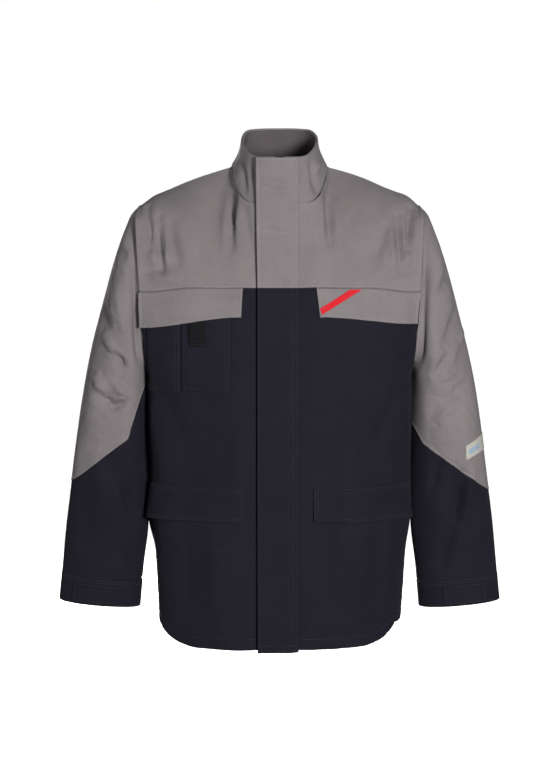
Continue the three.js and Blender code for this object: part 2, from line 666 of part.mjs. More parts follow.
for (const { side, label } of sides) {
  addPiece(`${label}_front_panel`, frontPanel(side, side < 0 ? [hipBag] : [hipBag, chestBag]), colours.navy);
  addPiece(`${label}_front_yoke`, frontYoke(side), colours.grey);
  addPiece(`${label}_front_facing`, frontFacing(side), colours.navy);
  addPiece(`${label}_zip_tape`, zipTape(side), colours.tape);
  addPiece(`${label}_zip_teeth`, zipTeeth(side), colours.brass, 0.35, 0.9);
  addPiece(`${label}_zip_top_stop`, zipTopStop(side), colours.brass, 0.35, 0.9);
  addPiece(`${label}_chest_flap`, chestFlapSheet(side), colours.grey);
  addPiece(`${label}_hip_flap`, hipFlapSheet(side), colours.navy);
  addPiece(`${label}_hip_pocket_bag`, pocketBag(side, hipBag), colours.navy);
  for (const half of ['front', 'back']) {
    addPiece(`${label}_upper_sleeve_${half}`, upperSleeve(side, half), colours.grey);
    addPiece(`${label}_lower_sleeve_${half}`, lowerSleeve(side, half), colours.navy);
  }
  addPiece(`${label}_cuff`, cuff(side), colours.navy);
  addPiece(`${label}_cuff_tab`, cuffTabSheet(side), colours.navy);
}

addPiece('back_panel', backPanel(), colours.navy);
addPiece('back_yoke', backYoke(), colours.grey);
addPiece('collar', collarSheet(-clothThickness, 0, frontEdgeX, 0.03, 0), colours.grey);
addPiece('collar_lining', collarSheet(
  -clothThickness - collarGap - liningThickness, -clothThickness - collarGap, zip.tapeOuter + 2, 0.03, 0.02,
), colours.grey);
addPiece('storm_flap_yoke', stormFlapPart(yokeSeamHeight + seamGap, stormFlap.top, 8), colours.grey);
addPiece('storm_flap', stormFlapPart(stormFlap.bottom, yokeSeamHeight, 12), colours.navy);
addPiece('zip_bottom_box', zipBottomPiece(1, 0.6), colours.brass, 0.35, 0.9);
addPiece('zip_pin', zipBottomPiece(-1, -0.4), colours.brass, 0.35, 0.9);
addPiece('zip_slider', zipSlider(), colours.brass, 0.35, 0.9);
addPiece('zip_pull', zipPullTab(), colours.brass, 0.35, 0.9);
addPiece('right_chest_pocket', patchPocket(
  -1, chestPatch.innerX, chestPatch.outerX, chestPatch.height,
), colours.navy);
addPiece('right_pen_pocket', patchPocket(
  -1, penPatch.innerX, (z) => sideEdge(Math.max(z, armpit.z + 40)).x - penPatch.edgeMargin, penPatch.height,
), colours.navy);
addPiece('right_strap_loop', strapLoopSheet(), colours.tape);
addPiece('left_chest_pocket_bag', pocketBag(1, chestBag), colours.navy);
addPiece('red_ribbon_label', ribbonLabel(), colours.red);
addPiece('sleeve_label', sleeveLabel(), colours.white);
addPiece('hanger_loop', hangerLoopStrip(), colours.tape);
addPiece('size_label', sizeLabelSheet(), colours.white);

snapHeights.forEach((z, i) => {
  const socketBack = layerGap + snap.studHeight + 0.4;
  const stud = snapDisc(z, layerGap, layerGap + snap.studHeight, snap.radius * 0.8);
  const socket = snapDisc(z, socketBack, stormFlap.standOff - 0.6, snap.radius);
  addPiece(`snap_stud_${i + 1}`, stud, colours.brass, 0.35, 0.9);
  addPiece(`snap_socket_${i + 1}`, socket, colours.brass, 0.35, 0.9);
});

const group = new THREE.Group();
group.add(jacket);

export default group;
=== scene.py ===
from math import pi, radians, sqrt

import bmesh
import bpy
import numpy as np
from mathutils import Matrix, Vector


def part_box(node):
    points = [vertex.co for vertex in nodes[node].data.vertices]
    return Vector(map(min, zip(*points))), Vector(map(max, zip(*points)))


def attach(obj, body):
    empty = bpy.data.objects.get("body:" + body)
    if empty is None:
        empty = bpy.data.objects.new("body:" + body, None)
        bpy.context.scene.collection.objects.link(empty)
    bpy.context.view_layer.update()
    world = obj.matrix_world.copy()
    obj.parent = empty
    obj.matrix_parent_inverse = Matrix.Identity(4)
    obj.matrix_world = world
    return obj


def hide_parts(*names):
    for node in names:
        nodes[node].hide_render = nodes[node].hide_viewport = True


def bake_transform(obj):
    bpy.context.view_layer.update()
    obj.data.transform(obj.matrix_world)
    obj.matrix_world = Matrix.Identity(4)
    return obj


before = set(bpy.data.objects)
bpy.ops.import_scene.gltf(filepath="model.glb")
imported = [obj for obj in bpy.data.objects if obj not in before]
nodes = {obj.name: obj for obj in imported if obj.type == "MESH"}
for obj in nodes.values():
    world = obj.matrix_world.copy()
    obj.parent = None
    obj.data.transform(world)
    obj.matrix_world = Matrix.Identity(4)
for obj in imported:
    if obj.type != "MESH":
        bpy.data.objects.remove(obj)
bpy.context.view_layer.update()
print("frame loaded:", len(nodes), "nodes")

# The pattern is in millimetres: hem at height 0, depth measured from the middle of the sleeves.
backLow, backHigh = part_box("back_panel")
cuffLow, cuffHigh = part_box("right_cuff")
patternOrigin = np.array([0, (cuffLow.y + cuffHigh.y) * 500, backLow.z * 1000])

jacket = {
    "hemHalf": 194, "waistHalf": 210, "waist": 250, "chestHalf": 213,
    "bowRadius": 4500, "bowDepth": 125, "bowHeight": 253,   # side view of the centre front
    "backHem": 112, "backChest": 120, "roundness": 2.6,
    "armpit": 434, "shoulderX": 231, "shoulder": 709, "armholeDepth": 75, "armholeRound": 2.2,
    "crown": 3.6, "yokeSeam": 578, "frontEdge": 8, "cloth": 2.2, "lining": 1.4,
    "shoulderRound": 1.15, "armholeStep": 1.5, "seamDrop": 7, "neckShare": 0.36, "yokeBow": (0.5, 9),
    "flatFront": (14, 1.1),   # half width of the flat middle strip, and how much of the bow it follows
}
neck = {"half": 77, "back": 72, "low": 712, "high": 771, "turn": (30, 100)}
rim = {"half": 62, "back": 60, "low": 782, "high": 828, "turn": (25, 135)}
collarRound = 2.4


def toFrame(points):
    return (points + patternOrigin) / 1000


def lerp(a, b, t):
    return a + (b - a) * t


def smooth(x, low, high):
    t = np.clip((x - low) / (high - low), 0, 1)
    return t * t * (3 - 2 * t)


def bell(x, middle, spread):
    return np.exp(-((x - middle) / spread) ** 2)


def signedPower(x, exponent):
    return np.sign(x) * np.abs(x) ** exponent


def stack(x, y, z):
    return np.stack(np.broadcast_arrays(x, y, z), -1).astype(float)


def frontDepth(z):
    radius = jacket["bowRadius"]
    return jacket["bowDepth"] - (radius - np.sqrt(radius ** 2 - (z - jacket["bowHeight"]) ** 2))


def sideEdge(z):
    flare = np.sin(np.clip(z / jacket["waist"], 0, 1) * pi / 2)
    low = lerp(jacket["hemHalf"], jacket["waistHalf"], flare)
    low = lerp(low, jacket["chestHalf"], smooth(z, jacket["waist"], jacket["armpit"]))
    rise = (z - jacket["armpit"]) / (jacket["shoulder"] - jacket["armpit"])
    stepOut = jacket["armholeStep"] * smooth(z, jacket["armpit"], jacket["armpit"] + 20)
    high = lerp(jacket["chestHalf"], jacket["shoulderX"], rise) + stepOut
    level = np.minimum(np.abs(2 * rise - 1), 1)
    deep = jacket["armholeDepth"] * (1 - level ** jacket["armholeRound"]) ** (1 / jacket["armholeRound"])
    above = z > jacket["armpit"]
    return np.where(above, high, low), np.where(above, deep, 0)


def bodyPoint(side, facing, fraction, z):
    z = np.asarray(z, float)
    back = lerp(jacket["backHem"], jacket["backChest"], smooth(z, 0, 420))
    centre = frontDepth(z) if facing < 0 else back
    edgeX, edgeY = sideEdge(z)
    eased = sum(sideEdge(z + step)[1] for step in (-50, -30, -10, 10, 30, 50)) / 6
    edgeY = lerp(eased, edgeY, smooth(fraction, 0.72, 0.97))
    softness = lerp(jacket["roundness"], jacket["shoulderRound"],
                    smooth(z, jacket["armpit"] - 40, jacket["armpit"] + 110))
    turn = np.clip(fraction, 0, 1) * pi / 2
    x = side * edgeX * np.sin(turn) ** (2 / jacket["roundness"])
    y = facing * (edgeY + (centre - edgeY) * np.maximum(np.cos(turn), 0) ** (2 / softness))
    return stack(x, y, z - seamDip(x, z) * (facing < 0))


def seamDip(x, z):
    # The front yoke seam drops a little as it nears the armhole, and the rows near it follow.
    return jacket["seamDrop"] * smooth(np.abs(x), 135, 212) * bell(z, jacket["yokeSeam"], 34)


def fractionAt(x, z):
    share = np.minimum(np.maximum(x, 0) / sideEdge(np.asarray(z, float))[0], 1)
    return np.arcsin(share ** (jacket["roundness"] / 2)) * 2 / pi


def ringPoint(ring, side, degrees):
    angle = np.radians(degrees)
    deep = np.where(np.cos(angle) > 0, frontDepth(ring["low"]), ring["back"])
    x = side * ring["half"] * np.maximum(np.sin(angle), 0) ** (2 / collarRound)
    y = -deep * signedPower(np.cos(angle), 2 / collarRound)
    return stack(x, y, lerp(ring["low"], ring["high"], smooth(degrees, *ring["turn"])))


def ringAngle(ring, x):
    return np.degrees(np.arcsin((x / ring["half"]) ** (collarRound / 2)))


def yokePoint(side, facing, u, v):
    u, v = np.broadcast_arrays(np.clip(u, 0, 1), np.clip(v, 0, 1))
    seam = jacket["yokeSeam"]
    inner = jacket["frontEdge"] if facing < 0 else 0
    edgeX = float(sideEdge(np.array(seam))[0])

    def below(t):
        edge = bodyPoint(side, facing, fractionAt(lerp(inner, edgeX, t), seam), np.full_like(t, seam))
        edge[..., 2] = seam
        return edge

    def above(t):
        start = ringAngle(neck, jacket["frontEdge"]) if facing < 0 else 180
        share = jacket["neckShare"]
        onNeck = ringPoint(neck, side, lerp(start, 90, np.minimum(t / share, 1)))
        s = np.clip((t - share) / (1 - share), 0, 1)
        ridge = ringPoint(neck, side, np.full_like(t, 90))
        z = lerp(ridge[..., 2], jacket["shoulder"], s) + 4 * jacket["crown"] * s * (1 - s)
        onShoulder = stack(lerp(ridge[..., 0], side * jacket["shoulderX"], s), 0, z)
        return np.where((t >= share)[..., None], onShoulder, onNeck)

    def centreLine(t):
        low, high = below(np.zeros_like(t)), above(np.zeros_like(t))
        line = lerp(low, high, t[..., None])
        line[..., 1] += facing * jacket["yokeBow"][facing > 0] * 4 * t * (1 - t)
        line[..., 0] = low[..., 0]
        return line

    def armhole(t):
        first = 2 * (seam - jacket["armpit"]) / (jacket["shoulder"] - jacket["armpit"]) - 1
        turn = lerp(np.arcsin(first ** (jacket["armholeRound"] / 2)), pi / 2, t)
        power = 2 / jacket["armholeRound"]
        z = lerp(jacket["armpit"], jacket["shoulder"], 0.5 + 0.5 * np.sin(turn) ** power)
        deep = jacket["armholeDepth"] * np.maximum(np.cos(turn), 0) ** power
        return stack(side * sideEdge(z)[0], facing * deep, z)

    def easedAbove(t, v):
        # The corner between neck and shoulder fades out down the cloth.
        zero, one = above(np.zeros_like(t)), above(np.ones_like(t))
        total = 0
        for shift in (-1, -0.6, -0.25, 0.25, 0.6, 1):
            place = t + shift * 0.24 * (1 - v)
            point = above(np.where(place < 0, -place, np.where(place > 1, 2 - place, place)))
            point = np.where((place < 0)[..., None], 2 * zero - point, point)
            total = total + np.where((place > 1)[..., None], 2 * one - point, point)
        return total / 6

    ruledUp = lerp(below(u), easedAbove(u, v), v[..., None])
    ruledAcross = lerp(centreLine(v), armhole(v), u[..., None])
    zero, one = np.zeros_like(u), np.ones_like(u)
    lowCorners = lerp(below(zero), below(one), u[..., None])
    highCorners = lerp(above(zero), above(one), u[..., None])
    patch = ruledUp + ruledAcross - lerp(lowCorners, highCorners, v[..., None])
    if facing < 0:
        patch[..., 2] -= seamDip(patch[..., 0], patch[..., 2])
    return patch


def centrePoint(x, z):
    half, follow = jacket["flatFront"]
    sag = frontDepth(rim["low"]) * (1 - (1 - (half / rim["half"]) ** collarRound) ** (1 / collarRound))
    rise = np.maximum(z - jacket["yokeSeam"], 0) / (rim["low"] - jacket["yokeSeam"])
    bend = follow * sag / half ** 2 * rise
    return stack(x, -frontDepth(z) + bend * x * x, z)


sleeve = {
    "top": [(1.4, 0), (31, -77), (59, -175), (82, -269), (101, -389), (117, -514), (131, -647)],
    "under": [(1.4, 0), (2.7, -16), (3.3, -39), (3.3, -84), (2.5, -164), (4.5, -259), (14.5, -384)],
    "depth": [75, 77, 74, 66, 58, 48, 40],
    "round": 2.2, "clear": 4, "cuffStart": 0.943, "headTuck": 1.3,
    "middle": (137, 510, 228, 300),   # drop to its start, its length, and its place out at both ends
    # Degrees round and share along at the corners of the colour seam.
    "seamRight": [(0, 0.15), (63, 0.58), (180, 0.75), (297, 0.58), (360, 0.15)],
    "seamLeft": [(0, 0.5), (45, 0.58), (180, 0.77), (315, 0.58), (360, 0.5)],
}


def armCurve(points):
    # A centripetal curve through the points, read at equal shares of their count.
    points = np.array(points, float)
    count = len(points)
    ends = np.vstack([2 * points[0] - points[1], points, 2 * points[-1] - points[-2]])

    def read(t):
        place = np.clip(t, 0, 1) * (count - 1)
        k = np.minimum(place.astype(int), count - 2)
        w = (place - k)[:, None]
        p0, p1, p2, p3 = ends[k], ends[k + 1], ends[k + 2], ends[k + 3]
        d0 = np.linalg.norm(p1 - p0, axis=1, keepdims=True) ** 0.5
        d1 = np.linalg.norm(p2 - p1, axis=1, keepdims=True) ** 0.5
        d2 = np.linalg.norm(p3 - p2, axis=1, keepdims=True) ** 0.5
        m1 = ((p1 - p0) / d0 - (p2 - p0) / (d0 + d1) + (p2 - p1) / d1) * d1
        m2 = ((p2 - p1) / d1 - (p3 - p1) / (d1 + d2) + (p3 - p2) / d2) * d1
        a = 2 * p1 - 2 * p2 + m1 + m2
        b = -3 * p1 + 3 * p2 - 2 * m1 - m2
        return p1 + m1 * w + b * w ** 2 + a * w ** 3
    return read


def underSteps():
    steps = []
    for i, (out, drop) in enumerate(sleeve["under"]):
        z = jacket["armpit"] + drop
        clear = 0 if i == 0 else float(sideEdge(np.array(float(z)))[0]) + sleeve["clear"]
        steps.append((max(jacket["chestHalf"] + 1.5 + out, clear), z))
    return steps


topLine = armCurve([(jacket["shoulderX"] + out, jacket["shoulder"] + drop) for out, drop in sleeve["top"]])
underLine = armCurve(underSteps())
depthLine = armCurve([(i, deep) for i, deep in enumerate(sleeve["depth"])])


def sleevePoint(side, degrees, along):
    shape = np.shape(degrees)
    angle = np.radians(np.ravel(degrees))
    along = np.ravel(along)
    top, under, deep = topLine(along), underLine(along), depthLine(along)[:, 1]
    axis = under - top
    half = np.linalg.norm(axis, axis=1) / 2
    power = 2 / sleeve["round"]
    reach = signedPower(np.cos(angle), power)
    middle = (top + under) / 2 + axis / (2 * half[:, None]) * (half * reach)[:, None]
    tuck = sleeve["headTuck"] * (1 - smooth(along, 0, 0.02))   # the head is drawn up to the armhole
    points = stack(side * (middle[:, 0] - tuck), -deep * signedPower(np.sin(angle), power), middle[:, 1])
    return points.reshape(shape + (3,))


def seamTable(points, side):
    # The seam runs straight between its corners as seen from the front, so it is searched for by halving.
    angles = np.arange(0, 361, 3.0)
    shares = np.zeros_like(angles)
    corners = [(angle, sleevePoint(side, np.array([float(angle)]), np.array([share]))[0])
               for angle, share in points]
    for (fromAngle, first), (toAngle, last) in zip(corners[:-1], corners[1:]):
        inside = (angles >= fromAngle) & (angles <= toAngle)
        low, high = np.zeros(inside.sum()), np.full(inside.sum(), 0.95)
        run = last - first
        for _ in range(24):
            middle = (low + high) / 2
            spot = sleevePoint(side, angles[inside], middle) - first
            turned = side if fromAngle < 180 else -side
            above = turned * (spot[:, 0] * run[2] - spot[:, 2] * run[0]) < 0
            low, high = np.where(above, middle, low), np.where(above, high, middle)
        shares[inside] = (low + high) / 2
    for angle, share in points:
        shares[np.abs(angles - angle) < 1] = share
    return angles, shares


seamTables = {-1: seamTable(sleeve["seamRight"], -1), 1: seamTable(sleeve["seamLeft"], 1)}


def colourSeam(side, degrees):
    return np.interp(degrees, *seamTables[side])


def rumple(size, squeeze, seed, count=26):
    rng = np.random.default_rng(seed)
    heading = rng.normal(size=(count, 3))
    heading /= np.linalg.norm(heading, axis=1, keepdims=True)
    pace = 2 * pi / size * heading * np.array(squeeze) * rng.uniform(0.6, 1.5, (count, 1))
    phase = rng.uniform(0, 2 * pi, count)
    return lambda p: np.cos(p @ pace.T + phase).sum(-1) / sqrt(count / 2)


drape = rumple(120, (1, 1, 0.35), 3)
crumple = rumple(46, (1, 1, 0.8), 8)
dimple = rumple(17, (1, 1, 1), 21)
armDrape = rumple(95, (1, 1, 0.8), 14)
armCrumple = rumple(42, (1, 1, 1.3), 29)

# Each fold: from x, z to x, z as seen from the front, its half width and its height (a valley is negative).
bodyFolds = [
    (-72, 728, -76, 640, 6, -3.2), (-62, 724, -66, 650, 5, 1.8), (-86, 716, -88, 640, 7, 1.6),
    (-211, 706, -204, 640, 6, -5.0), (-193, 688, -189, 606, 7, -5.0), (-176, 680, -160, 618, 9, -3.0),
    (-182, 660, -178, 610, 5, 2.2),
    (-214, 604, -178, 612, 7, -3.0), (-200, 650, -196, 600, 8, 2.4), (-196, 590, -160, 593, 7, 1.8),
    (74, 728, 79, 645, 6, -3.0), (62, 722, 66, 655, 5, 1.6), (90, 712, 93, 640, 7, 1.4),
    (209, 706, 204, 636, 6, -5.0), (188, 692, 192, 612, 7, -4.6), (166, 668, 150, 612, 9, -2.6),
    (178, 664, 181, 612, 5, 2.0),
    (214, 608, 180, 600, 7, -2.6), (198, 655, 199, 604, 8, 2.2),
    (-52, 700, -46, 640, 6, -1.6), (50, 700, 46, 640, 6, -1.4),
    (-190, 420, -150, 330, 12, -2.0), (-205, 380, -170, 250, 14, 1.8), (190, 420, 150, 320, 12, -2.0),
    (120, 400, 96, 120, 16, 1.6), (-110, 230, -96, 20, 16, 1.8), (-150, 220, -150, 10, 14, -1.6),
    (160, 230, 150, 10, 15, -1.8), (100, 180, 92, 10, 14, 1.5), (-60, 380, -66, 280, 14, 1.2),
]
armFolds = {
    -1: [
        (-262, 470, -246, 450, 6, -5.0), (-288, 402, -266, 384, 7, -5.5), (-266, 384, -242, 392, 6, -4.0),
        (-292, 430, -284, 404, 8, 3.4), (-262, 424, -250, 404, 8, 3.4), (-276, 500, -262, 470, 9, 2.6),
        (-300, 560, -268, 500, 10, -2.4), (-250, 600, -238, 520, 9, -2.2), (-262, 640, -240, 620, 8, -2.2),
        (-254, 252, -232, 200, 8, -4.6), (-266, 262, -248, 212, 9, 3.0), (-300, 300, -280, 220, 12, 2.2),
        (-244, 150, -236, 100, 8, -2.8), (-320, 250, -312, 140, 14, -1.8),
    ],
    1: [
        (300, 560, 262, 480, 9, -3.4), (312, 540, 280, 470, 9, 2.8), (278, 620, 250, 560, 8, -3.0),
        (270, 470, 250, 440, 7, -4.0), (300, 420, 270, 390, 8, -3.0), (286, 400, 262, 372, 8, 2.6),
        (298, 276, 284, 206, 8, -4.8), (284, 206, 262, 130, 9, -3.6), (312, 276, 298, 206, 9, 3.2),
        (258, 300, 240, 240, 8, -2.4), (326, 240, 320, 130, 13, 2.0),
    ],
}
foldStrength = 2.5


def foldHeight(points, folds):
    total = np.zeros(points.shape[:-1])
    x, z = points[..., 0], points[..., 2]
    for x1, z1, x2, z2, width, height in folds:
        run = np.array([x2 - x1, z2 - z1], float)
        t = np.clip(((x - x1) * run[0] + (z - z1) * run[1]) / (run @ run), 0, 1)
        gap = np.hypot(x - x1 - t * run[0], z - z1 - t * run[1])
        fade = 0.35 + 0.65 * np.sin(pi * np.clip(t, 0.08, 0.92))   # shallower towards both ends
        total += foldStrength * height * bell(gap, 0, width) * fade
    return total


def crumpled(field, tight, deep):
    # Thin creases where the field crosses zero.
    return np.maximum(0, 1 - np.abs(field) * tight) ** 2 * deep


hang = {
    "tip": -8.0, "tipX": (196, 232), "tipZ": (682, 706),            # the shoulder tips slope down
    "flank": 3.6, "hip": 2.6, "hipZ": 225, "hipSpread": 45,          # the sides are full at the hip
    "flankZ": (125, 190, 436, 450), "flankDepth": 26,
    "narrow": -5.0, "narrowX": (110, 190), "narrowTop": 240,        # the hem hangs closer on the left
    "zipStill": (14, 70),                                           # beside the zip its slider runs clear
}


def bodyRise(points):
    x, y, z = points[..., 0], points[..., 1], points[..., 2]
    wide = np.abs(x)
    fromEdge = sideEdge(z)[0] - wide
    nearArm = lerp(1, smooth(fromEdge, 2, 26), smooth(z, jacket["armpit"] - 40, jacket["armpit"]))
    nearNeck = 1 - 0.8 * smooth(z, 690, 760)
    wave = drape(points) * lerp(2.2, 3.2, smooth(y, -40, 60))
    crease = crumpled(crumple(points), 2.2, 1.5) * smooth(drape(points[..., ::-1]), -0.2, 1.0)
    tip = hang["tip"] * smooth(wide, *hang["tipX"]) ** 1.4 * smooth(z, *hang["tipZ"])
    low, lowEnd, high, highEnd = hang["flankZ"]
    full = hang["flank"] + hang["hip"] * bell(z, hang["hipZ"], hang["hipSpread"])
    full = full * bell(y, 0, hang["flankDepth"])
    flank = full * smooth(z, low, lowEnd) * (1 - smooth(z, high, highEnd))
    narrow = hang["narrow"] * smooth(x, *hang["narrowX"]) * (1 - smooth(z, 0, hang["narrowTop"]))
    nearZip = smooth(wide, *hang["zipStill"]) * (1 - 0.2 * flank)
    loose = (wave - crease + 0.18 * dimple(points)) * nearArm * nearZip * nearNeck
    folds = foldHeight(points, bodyFolds) * smooth(-y, -10, 40) * smooth(fromEdge, 0, 10)
    return tip + flank + narrow + loose + folds


def armCentre(spot):
    # The middle line of the sleeve at this height.
    drop, length, first, last = sleeve["middle"]
    t = np.clip((jacket["shoulder"] - drop - spot[..., 2]) / length, 0, 1)
    return stack(np.sign(spot[..., 0]) * lerp(first, last, t), 0, spot[..., 2])


arm = {
    "sink": (-9.5, 7, 7), "swell": (2.6, 26, 10), "start": (-6.5, 229, 11),   # height, place and half width
    "inner": 3.4, "innerDepth": 24, "elbow": (400, 90), "edgeDepth": 46,
    "wave": 2.3, "crease": (1.9, 2.8), "dimple": 0.2,
}


def headShape(points):
    # The sleeve head sinks beside the armhole and then rounds out over the top of the arm.
    x, y, z = np.abs(points[..., 0]), points[..., 1], points[..., 2]
    away = x - sideEdge(z)[0]
    height, *place = arm["sink"]
    sink = height * bell(away, *place) * smooth(z, 440, 480) * (1 - smooth(z, 660, 700))
    height, *place = arm["swell"]
    swell = height * bell(away, *place) * smooth(z, 470, 520) * (1 - smooth(z, 650, 690))
    height, *place = arm["start"]
    return (sink + swell) * smooth(np.abs(y), 12, 40) + height * bell(x, *place) * smooth(z, 684, 704)


def armRise(side):
    def rise(points):
        x, y, z = np.abs(points[..., 0]), points[..., 1], points[..., 2]
        nearHead = smooth(x, 231, 252)
        straight = 1 - 0.9 * np.exp(-(y / arm["edgeDepth"]) ** 4)   # straight where seen edge on
        nearCuff = lerp(0.35, 1, smooth(z, 90, 150)) * straight
        crease = crumpled(armCrumple(points), *arm["crease"]) * lerp(0.6, 1.3, bell(z, *arm["elbow"]))
        loose = armDrape(points) * arm["wave"] - crease + arm["dimple"] * dimple(points)
        folds = foldHeight(points, armFolds[side]) * smooth(-y, 12, 44)
        insideArm = bell(y, 0, arm["innerDepth"]) * (x < np.abs(armCentre(points)[..., 0])) * smooth(z, 110, 185)
        full = arm["inner"] + bell(z, hang["hipZ"], hang["hipSpread"])
        inner = insideArm * full * (1 - smooth(z, 420, 434))
        return inner + (loose * nearCuff + folds) * nearHead + headShape(points)
    return rise


collarFolds = [(-44, 772, -42, 738, 4, -2.6), (-36, 774, -36, 742, 4, 1.4), (-60, 770, -54, 730, 4.5, -2.2),
               (50, 772, 58, 730, 4.5, -3.0), (42, 768, 44, 736, 4, 1.8), (62, 778, 56, 758, 4, 2.0)]


def collarRise(points):
    y, z = points[..., 1], points[..., 2]
    return foldHeight(points, collarFolds) * smooth(-y, 10, 40) + 0.5 * crumple(points) * smooth(z, 700, 740)


def torsoCentre(spot):
    return stack(0, 0, np.minimum(spot[..., 2], 560))


def faceOf(surface, lift=0, rise=bodyRise, steps=(0.002, 0.2), centre=torsoCentre):
    # The finished outer face of a piece: its surface, stood off along the normal, with the folds in it.
    def face(u, v):
        spot = surface(u, v)
        alongU = surface(u + steps[0], v) - surface(u - steps[0], v)
        alongV = surface(u, v + steps[1]) - surface(u, v - steps[1])
        out = np.cross(alongU, alongV)
        out /= np.maximum(np.linalg.norm(out, axis=-1, keepdims=True), 1e-12)
        out *= np.where(((spot - centre(spot)) * out).sum(-1, keepdims=True) < 0, -1, 1)
        height = lift(u, v) if callable(lift) else lift
        return spot + out * (height + rise(spot))[..., None], out
    return face


edgeSteps = [0, 1.5, 2.6, 4, 5.4, 6.4, 7.4, 9, 11.5, 15]     # closer rows beside a sewn edge
seamShape = {
    "turned": lambda d: 0.5 * bell(d, 3.2, 2.0) - 0.45 * bell(d, 6.4, 1.1),
    "ditch": lambda d: -0.8 * np.exp(-d / 1.6) + 0.3 * bell(d, 4, 2.2),
    "hem": lambda d: 0.5 * bell(d, 8, 7) - 0.5 * bell(d, 18, 1.4),
    "plain": lambda d: 0 * d,
}


def rows(low, high, length, spacing=4.5, extra=(), denseLow=True, denseHigh=True):
    # Grid stops from low to high over a run of this length in millimetres.
    steps = [d for d in edgeSteps if d < length * 0.4]
    start = steps if denseLow else [0]
    end = [length - d for d in (steps if denseHigh else [0])]
    between = np.linspace(start[-1], end[-1], max(int(abs(end[-1] - start[-1]) / spacing), 1) + 1)
    stops = sorted({round(float(d), 3) for d in [*start, *between, *end]})
    stops = [lerp(low, high, d / length) for d in stops]
    for value in extra:
        stops = [s for s in stops if abs(s - value) > abs(high - low) / length * 1.2 or s in (low, high)]
        stops.append(value)
    return np.array(sorted(stops, reverse=low > high))


def makeObject(name, bm, finish, smoothShade=True):
    mesh = bpy.data.meshes.new(name)
    bm.to_mesh(mesh)
    bm.free()
    if smoothShade:
        mesh.polygons.foreach_set("use_smooth", [True] * len(mesh.polygons))
    mesh.materials.append(finish)
    piece = bpy.data.objects.new(name, mesh)
    bpy.context.scene.collection.objects.link(piece)
    return piece


def sewTo(piece, place):
    # place is a body's name, which the piece is attached to, or the two bodies with the start and end of a bend;
    # such a piece is only fixed where it stands, and no bend is made.
    if isinstance(place, str):
        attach(piece, place)
    else:
        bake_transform(piece)


body = "jacket_body"
sides = {"right": -1, "left": 1}


def cutCloth(name, face, us, vs, finish, replaced, place=body, kind="ditch", edges=None,
             thick=jacket["cloth"], close=False, slit=None, bevel=0.7):
    # kind is the shape of every edge that edges doesn't name.
    edges = {**dict.fromkeys(("left", "right", "low", "high"), kind), **(edges or {})}
    countU, countV = len(us), len(vs)
    uu, vv = np.meshgrid(us, vs, indexing="ij")
    spot, out = face(uu, vv)
    stepU, stepV = (np.linalg.norm(np.diff(spot, axis=axis), axis=2) for axis in (0, 1))
    runU = np.concatenate([np.zeros((1, countV)), np.cumsum(stepU, 0)])
    runV = np.concatenate([np.zeros((countU, 1)), np.cumsum(stepV, 1)], 1)
    away = {"left": runU, "right": runU[-1:] - runU, "low": runV, "high": runV[:, -1:] - runV}
    seam = np.full(runU.shape, 60.0)
    for edge, kind in edges.items():
        if kind:
            spot = spot + out * seamShape[kind](away[edge])[..., None]
        if kind and kind != "plain":
            seam = np.minimum(seam, away[edge])
    bm = bmesh.new()
    bmesh.ops.create_grid(bm, x_segments=countU - 1, y_segments=countV - 1, size=0.5)
    weave = bm.loops.layers.uv.new("Weave")
    # Distance to the nearest sewn edge: the cloth finish reads it for painted seam shade, rubbed wear and
    # puckering
    shadeAndWear = bm.verts.layers.float.new("seam")
    finalSpot = toFrame(spot)
    index = {}
    for vert in bm.verts:
        i = round((vert.co.x + 0.5) * (countU - 1))
        j = round((vert.co.y + 0.5) * (countV - 1))
        index[vert] = (i, j)
        vert.co = finalSpot[i, j]
        vert[shadeAndWear] = seam[i, j]
    for quad in bm.faces:
        for loop in quad.loops:
            i, j = index[loop.vert]
            loop[weave].uv = (runU[i, j] / 1000, runV[i, j] / 1000)
    if slit:   # an opening across the piece: u from, to and v from, to
        gone = []
        for quad in bm.faces:
            spots = [index[vert] for vert in quad.verts]
            u = sum(us[i] for i, j in spots) / 4
            v = sum(vs[j] for i, j in spots) / 4
            if slit[0] < u < slit[1] and slit[2] < v < slit[3]:
                gone.append(quad)
        bmesh.ops.delete(bm, geom=gone, context="FACES")
    if close:
        bmesh.ops.remove_doubles(bm, verts=bm.verts, dist=0.0002)
    middle = bm.faces[:][len(bm.faces) // 2]
    middle.normal_update()
    nearest = np.argmin(((finalSpot.reshape(-1, 3) - np.array(middle.calc_center_median())) ** 2).sum(1))
    if Vector(out.reshape(-1, 3)[nearest]).dot(middle.normal) < 0:
        bmesh.ops.reverse_faces(bm, faces=bm.faces)
    piece = makeObject(name, bm, finish)
    sewTo(piece, place)
    wall = piece.modifiers.new("Thickness", "SOLIDIFY")
    wall.thickness = thick / 1000
    wall.offset = -1
    if bevel:
        roll = piece.modifiers.new("Turned edge", "BEVEL")
        roll.width = bevel / 1000
        roll.segments = 2
        roll.limit_method = "ANGLE"
        roll.angle_limit = radians(55)
        roll.use_clamp_overlap = False
    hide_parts(*replaced)
    return {"name": name, "spot": spot, "out": out, "runU": runU, "runV": runV, "place": place,
            "slot": slots[finish]}


thread = {"pitch": 3.3, "length": 2.5, "width": 0.62, "height": 0.42}


class Stamp:
    # One small mesh, copied many times into a single piece.
    def __init__(self, name, template):
        self.mesh = bpy.data.meshes.new(name)
        template.to_mesh(self.mesh)
        template.free()
        self.shape = np.array([v.co for v in self.mesh.vertices])
        self.bm = bmesh.new()

    def press(self, spot, along, across, up):
        points = spot + self.shape[:, :1] * along + self.shape[:, 1:2] * across + self.shape[:, 2:] * up
        self.mesh.vertices.foreach_set("co", toFrame(points).ravel())
        self.bm.from_mesh(self.mesh)

    def finished(self):
        bpy.data.meshes.remove(self.mesh)
        bmesh.ops.recalc_face_normals(self.bm, faces=self.bm.faces)
        return self.bm


